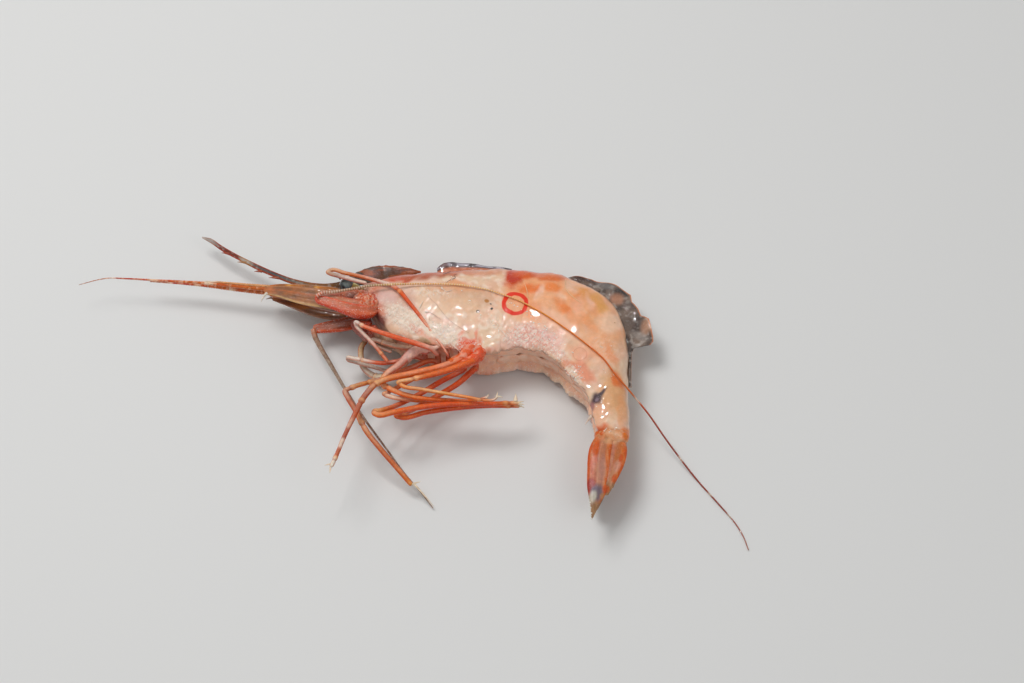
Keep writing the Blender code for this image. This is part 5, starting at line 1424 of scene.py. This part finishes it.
LEAF_PATCHES = (
    (585, 278, 16, 4, 12, (70, 38, 28), 0.9), (605, 285, 8, 4, 20, (120, 116, 114), 0.7),
    (620, 293, 7, 4.5, 25, (58, 54, 54), 0.85), (617, 299, 6.5, 5.5, 0, (190, 140, 114), 0.9),
    (628, 306, 4, 6, -30, (120, 104, 98), 0.5), (634, 322, 9, 9, 0, (88, 74, 70), 0.5),
    (646, 327, 5, 8, 15, (196, 150, 122), 0.7), (640, 336, 9, 4, 20, (170, 162, 156), 0.5),
)
leaf_film, out, film_at = film(FILM_EDGE, 7.95, 11.2, MID_HEIGHT + 0.1, 0.7, 71)
film_paint = lay(tint(92, 76, 68), tint(126, 108, 96), ease(0.3, 0.8, cloud(leaf_film, 0.9, 73)))
film_paint = lay(film_paint, tint(190, 182, 174), 0.5 * ease(0.78, 0.95, cloud(leaf_film, 0.4, 74)))
film_paint = patched(film_paint, film_at, LEAF_PATCHES, 0.5)
film_paint = lay(film_paint, tint(222, 148, 112), 0.9 * ease(0.93, 0.99, out))
add_piece("loose_leaf", [(leaf_film, film_paint, 1.0)], film_finish, "clear_shell", "shell_film_bend")

STRIP_END = ((443, 265, 5, 4, 0, (96, 58, 50), 0.8),)
strip_film, out, film_at = film(STRIP_EDGE, 3.45, 6.1, MID_HEIGHT + 0.3, 0.45, 75)
film_paint = lay(tint(66, 58, 60), tint(100, 92, 96), cloud(strip_film * (0.4, 1, 1), 0.5, 77))
# A pale painted sheen runs along the strip, near its outer edge.
painted_sheen = ease(0.14, 0.04, np.abs(out - 0.86)) * ease(0.15, 0.5, cloud(strip_film, 0.8, 78))
film_paint = lay(film_paint, tint(186, 180, 190), 0.9 * painted_sheen)
film_paint = lay(film_paint, tint(212, 132, 100), 0.95 * ease(0.72, 0.55, out))
film_paint = patched(film_paint, film_at, STRIP_END, 0.5)
add_piece("loose_strip", [(strip_film, film_paint, 1.0)], film_finish, "clear_shell", "shell_film_back")


# A plain pale floor under soft light from above, as in a studio. The broad lamps give the light but don't
# show in the gloss, and the four small ones show only there, as glints.
floor_mesh = bpy.data.meshes.new("floor")
floor_mesh.from_pydata([(-2, -2, 0), (2, -2, 0), (2, 2, 0), (-2, 2, 0)], [], [(0, 1, 2, 3)])
floor = bpy.data.objects.new("floor", floor_mesh)
bpy.context.scene.collection.objects.link(floor)
floor_finish = bpy.data.materials.new("floor")
floor_finish.use_nodes = True
floor_finish.node_tree.nodes["Principled BSDF"].inputs["Base Color"].default_value = (0.72, 0.72, 0.71, 1)
floor_finish.node_tree.nodes["Principled BSDF"].inputs["Roughness"].default_value = 0.6
floor_mesh.materials.append(floor_finish)

world = bpy.data.worlds.new("studio")
world.use_nodes = True
world.node_tree.nodes["Background"].inputs["Color"].default_value = (1.0, 1.0, 1.0, 1)
world.node_tree.nodes["Background"].inputs["Strength"].default_value = 0.4
bpy.context.scene.world = world
bpy.context.scene.view_settings.view_transform = "Standard"
# Each lamp's place and width in metres, and its power in watts. All of them point at the animal.
LAMPS = {
    "key": ((-0.12, 0.10, 0.30), 0.15, 0.60), "fill": ((0.20, -0.15, 0.25), 0.12, 0.10),
    "glint_above": ((-0.03, 0.13, 0.31), 0.012, 0.18), "glint_near": ((0.03, -0.05, 0.44), 0.007, 0.14),
    "glint_left": ((-0.16, -0.06, 0.36), 0.008, 0.22), "glint_right": ((0.15, -0.16, 0.36), 0.008, 0.26),
}
for name, (lamp_place, size, power) in LAMPS.items():
    lamp_data = bpy.data.lights.new(name, "AREA")
    lamp_data.size = size
    lamp_data.energy = power
    lamp = bpy.data.objects.new(name, lamp_data)
    lamp.location = lamp_place
    lamp.visible_glossy = name.startswith("glint")
    lamp.visible_diffuse = not lamp.visible_glossy
    lamp.rotation_euler = (-Vector(lamp_place)).to_track_quat("-Z", "Y").to_euler()
    bpy.context.scene.collection.objects.link(lamp)
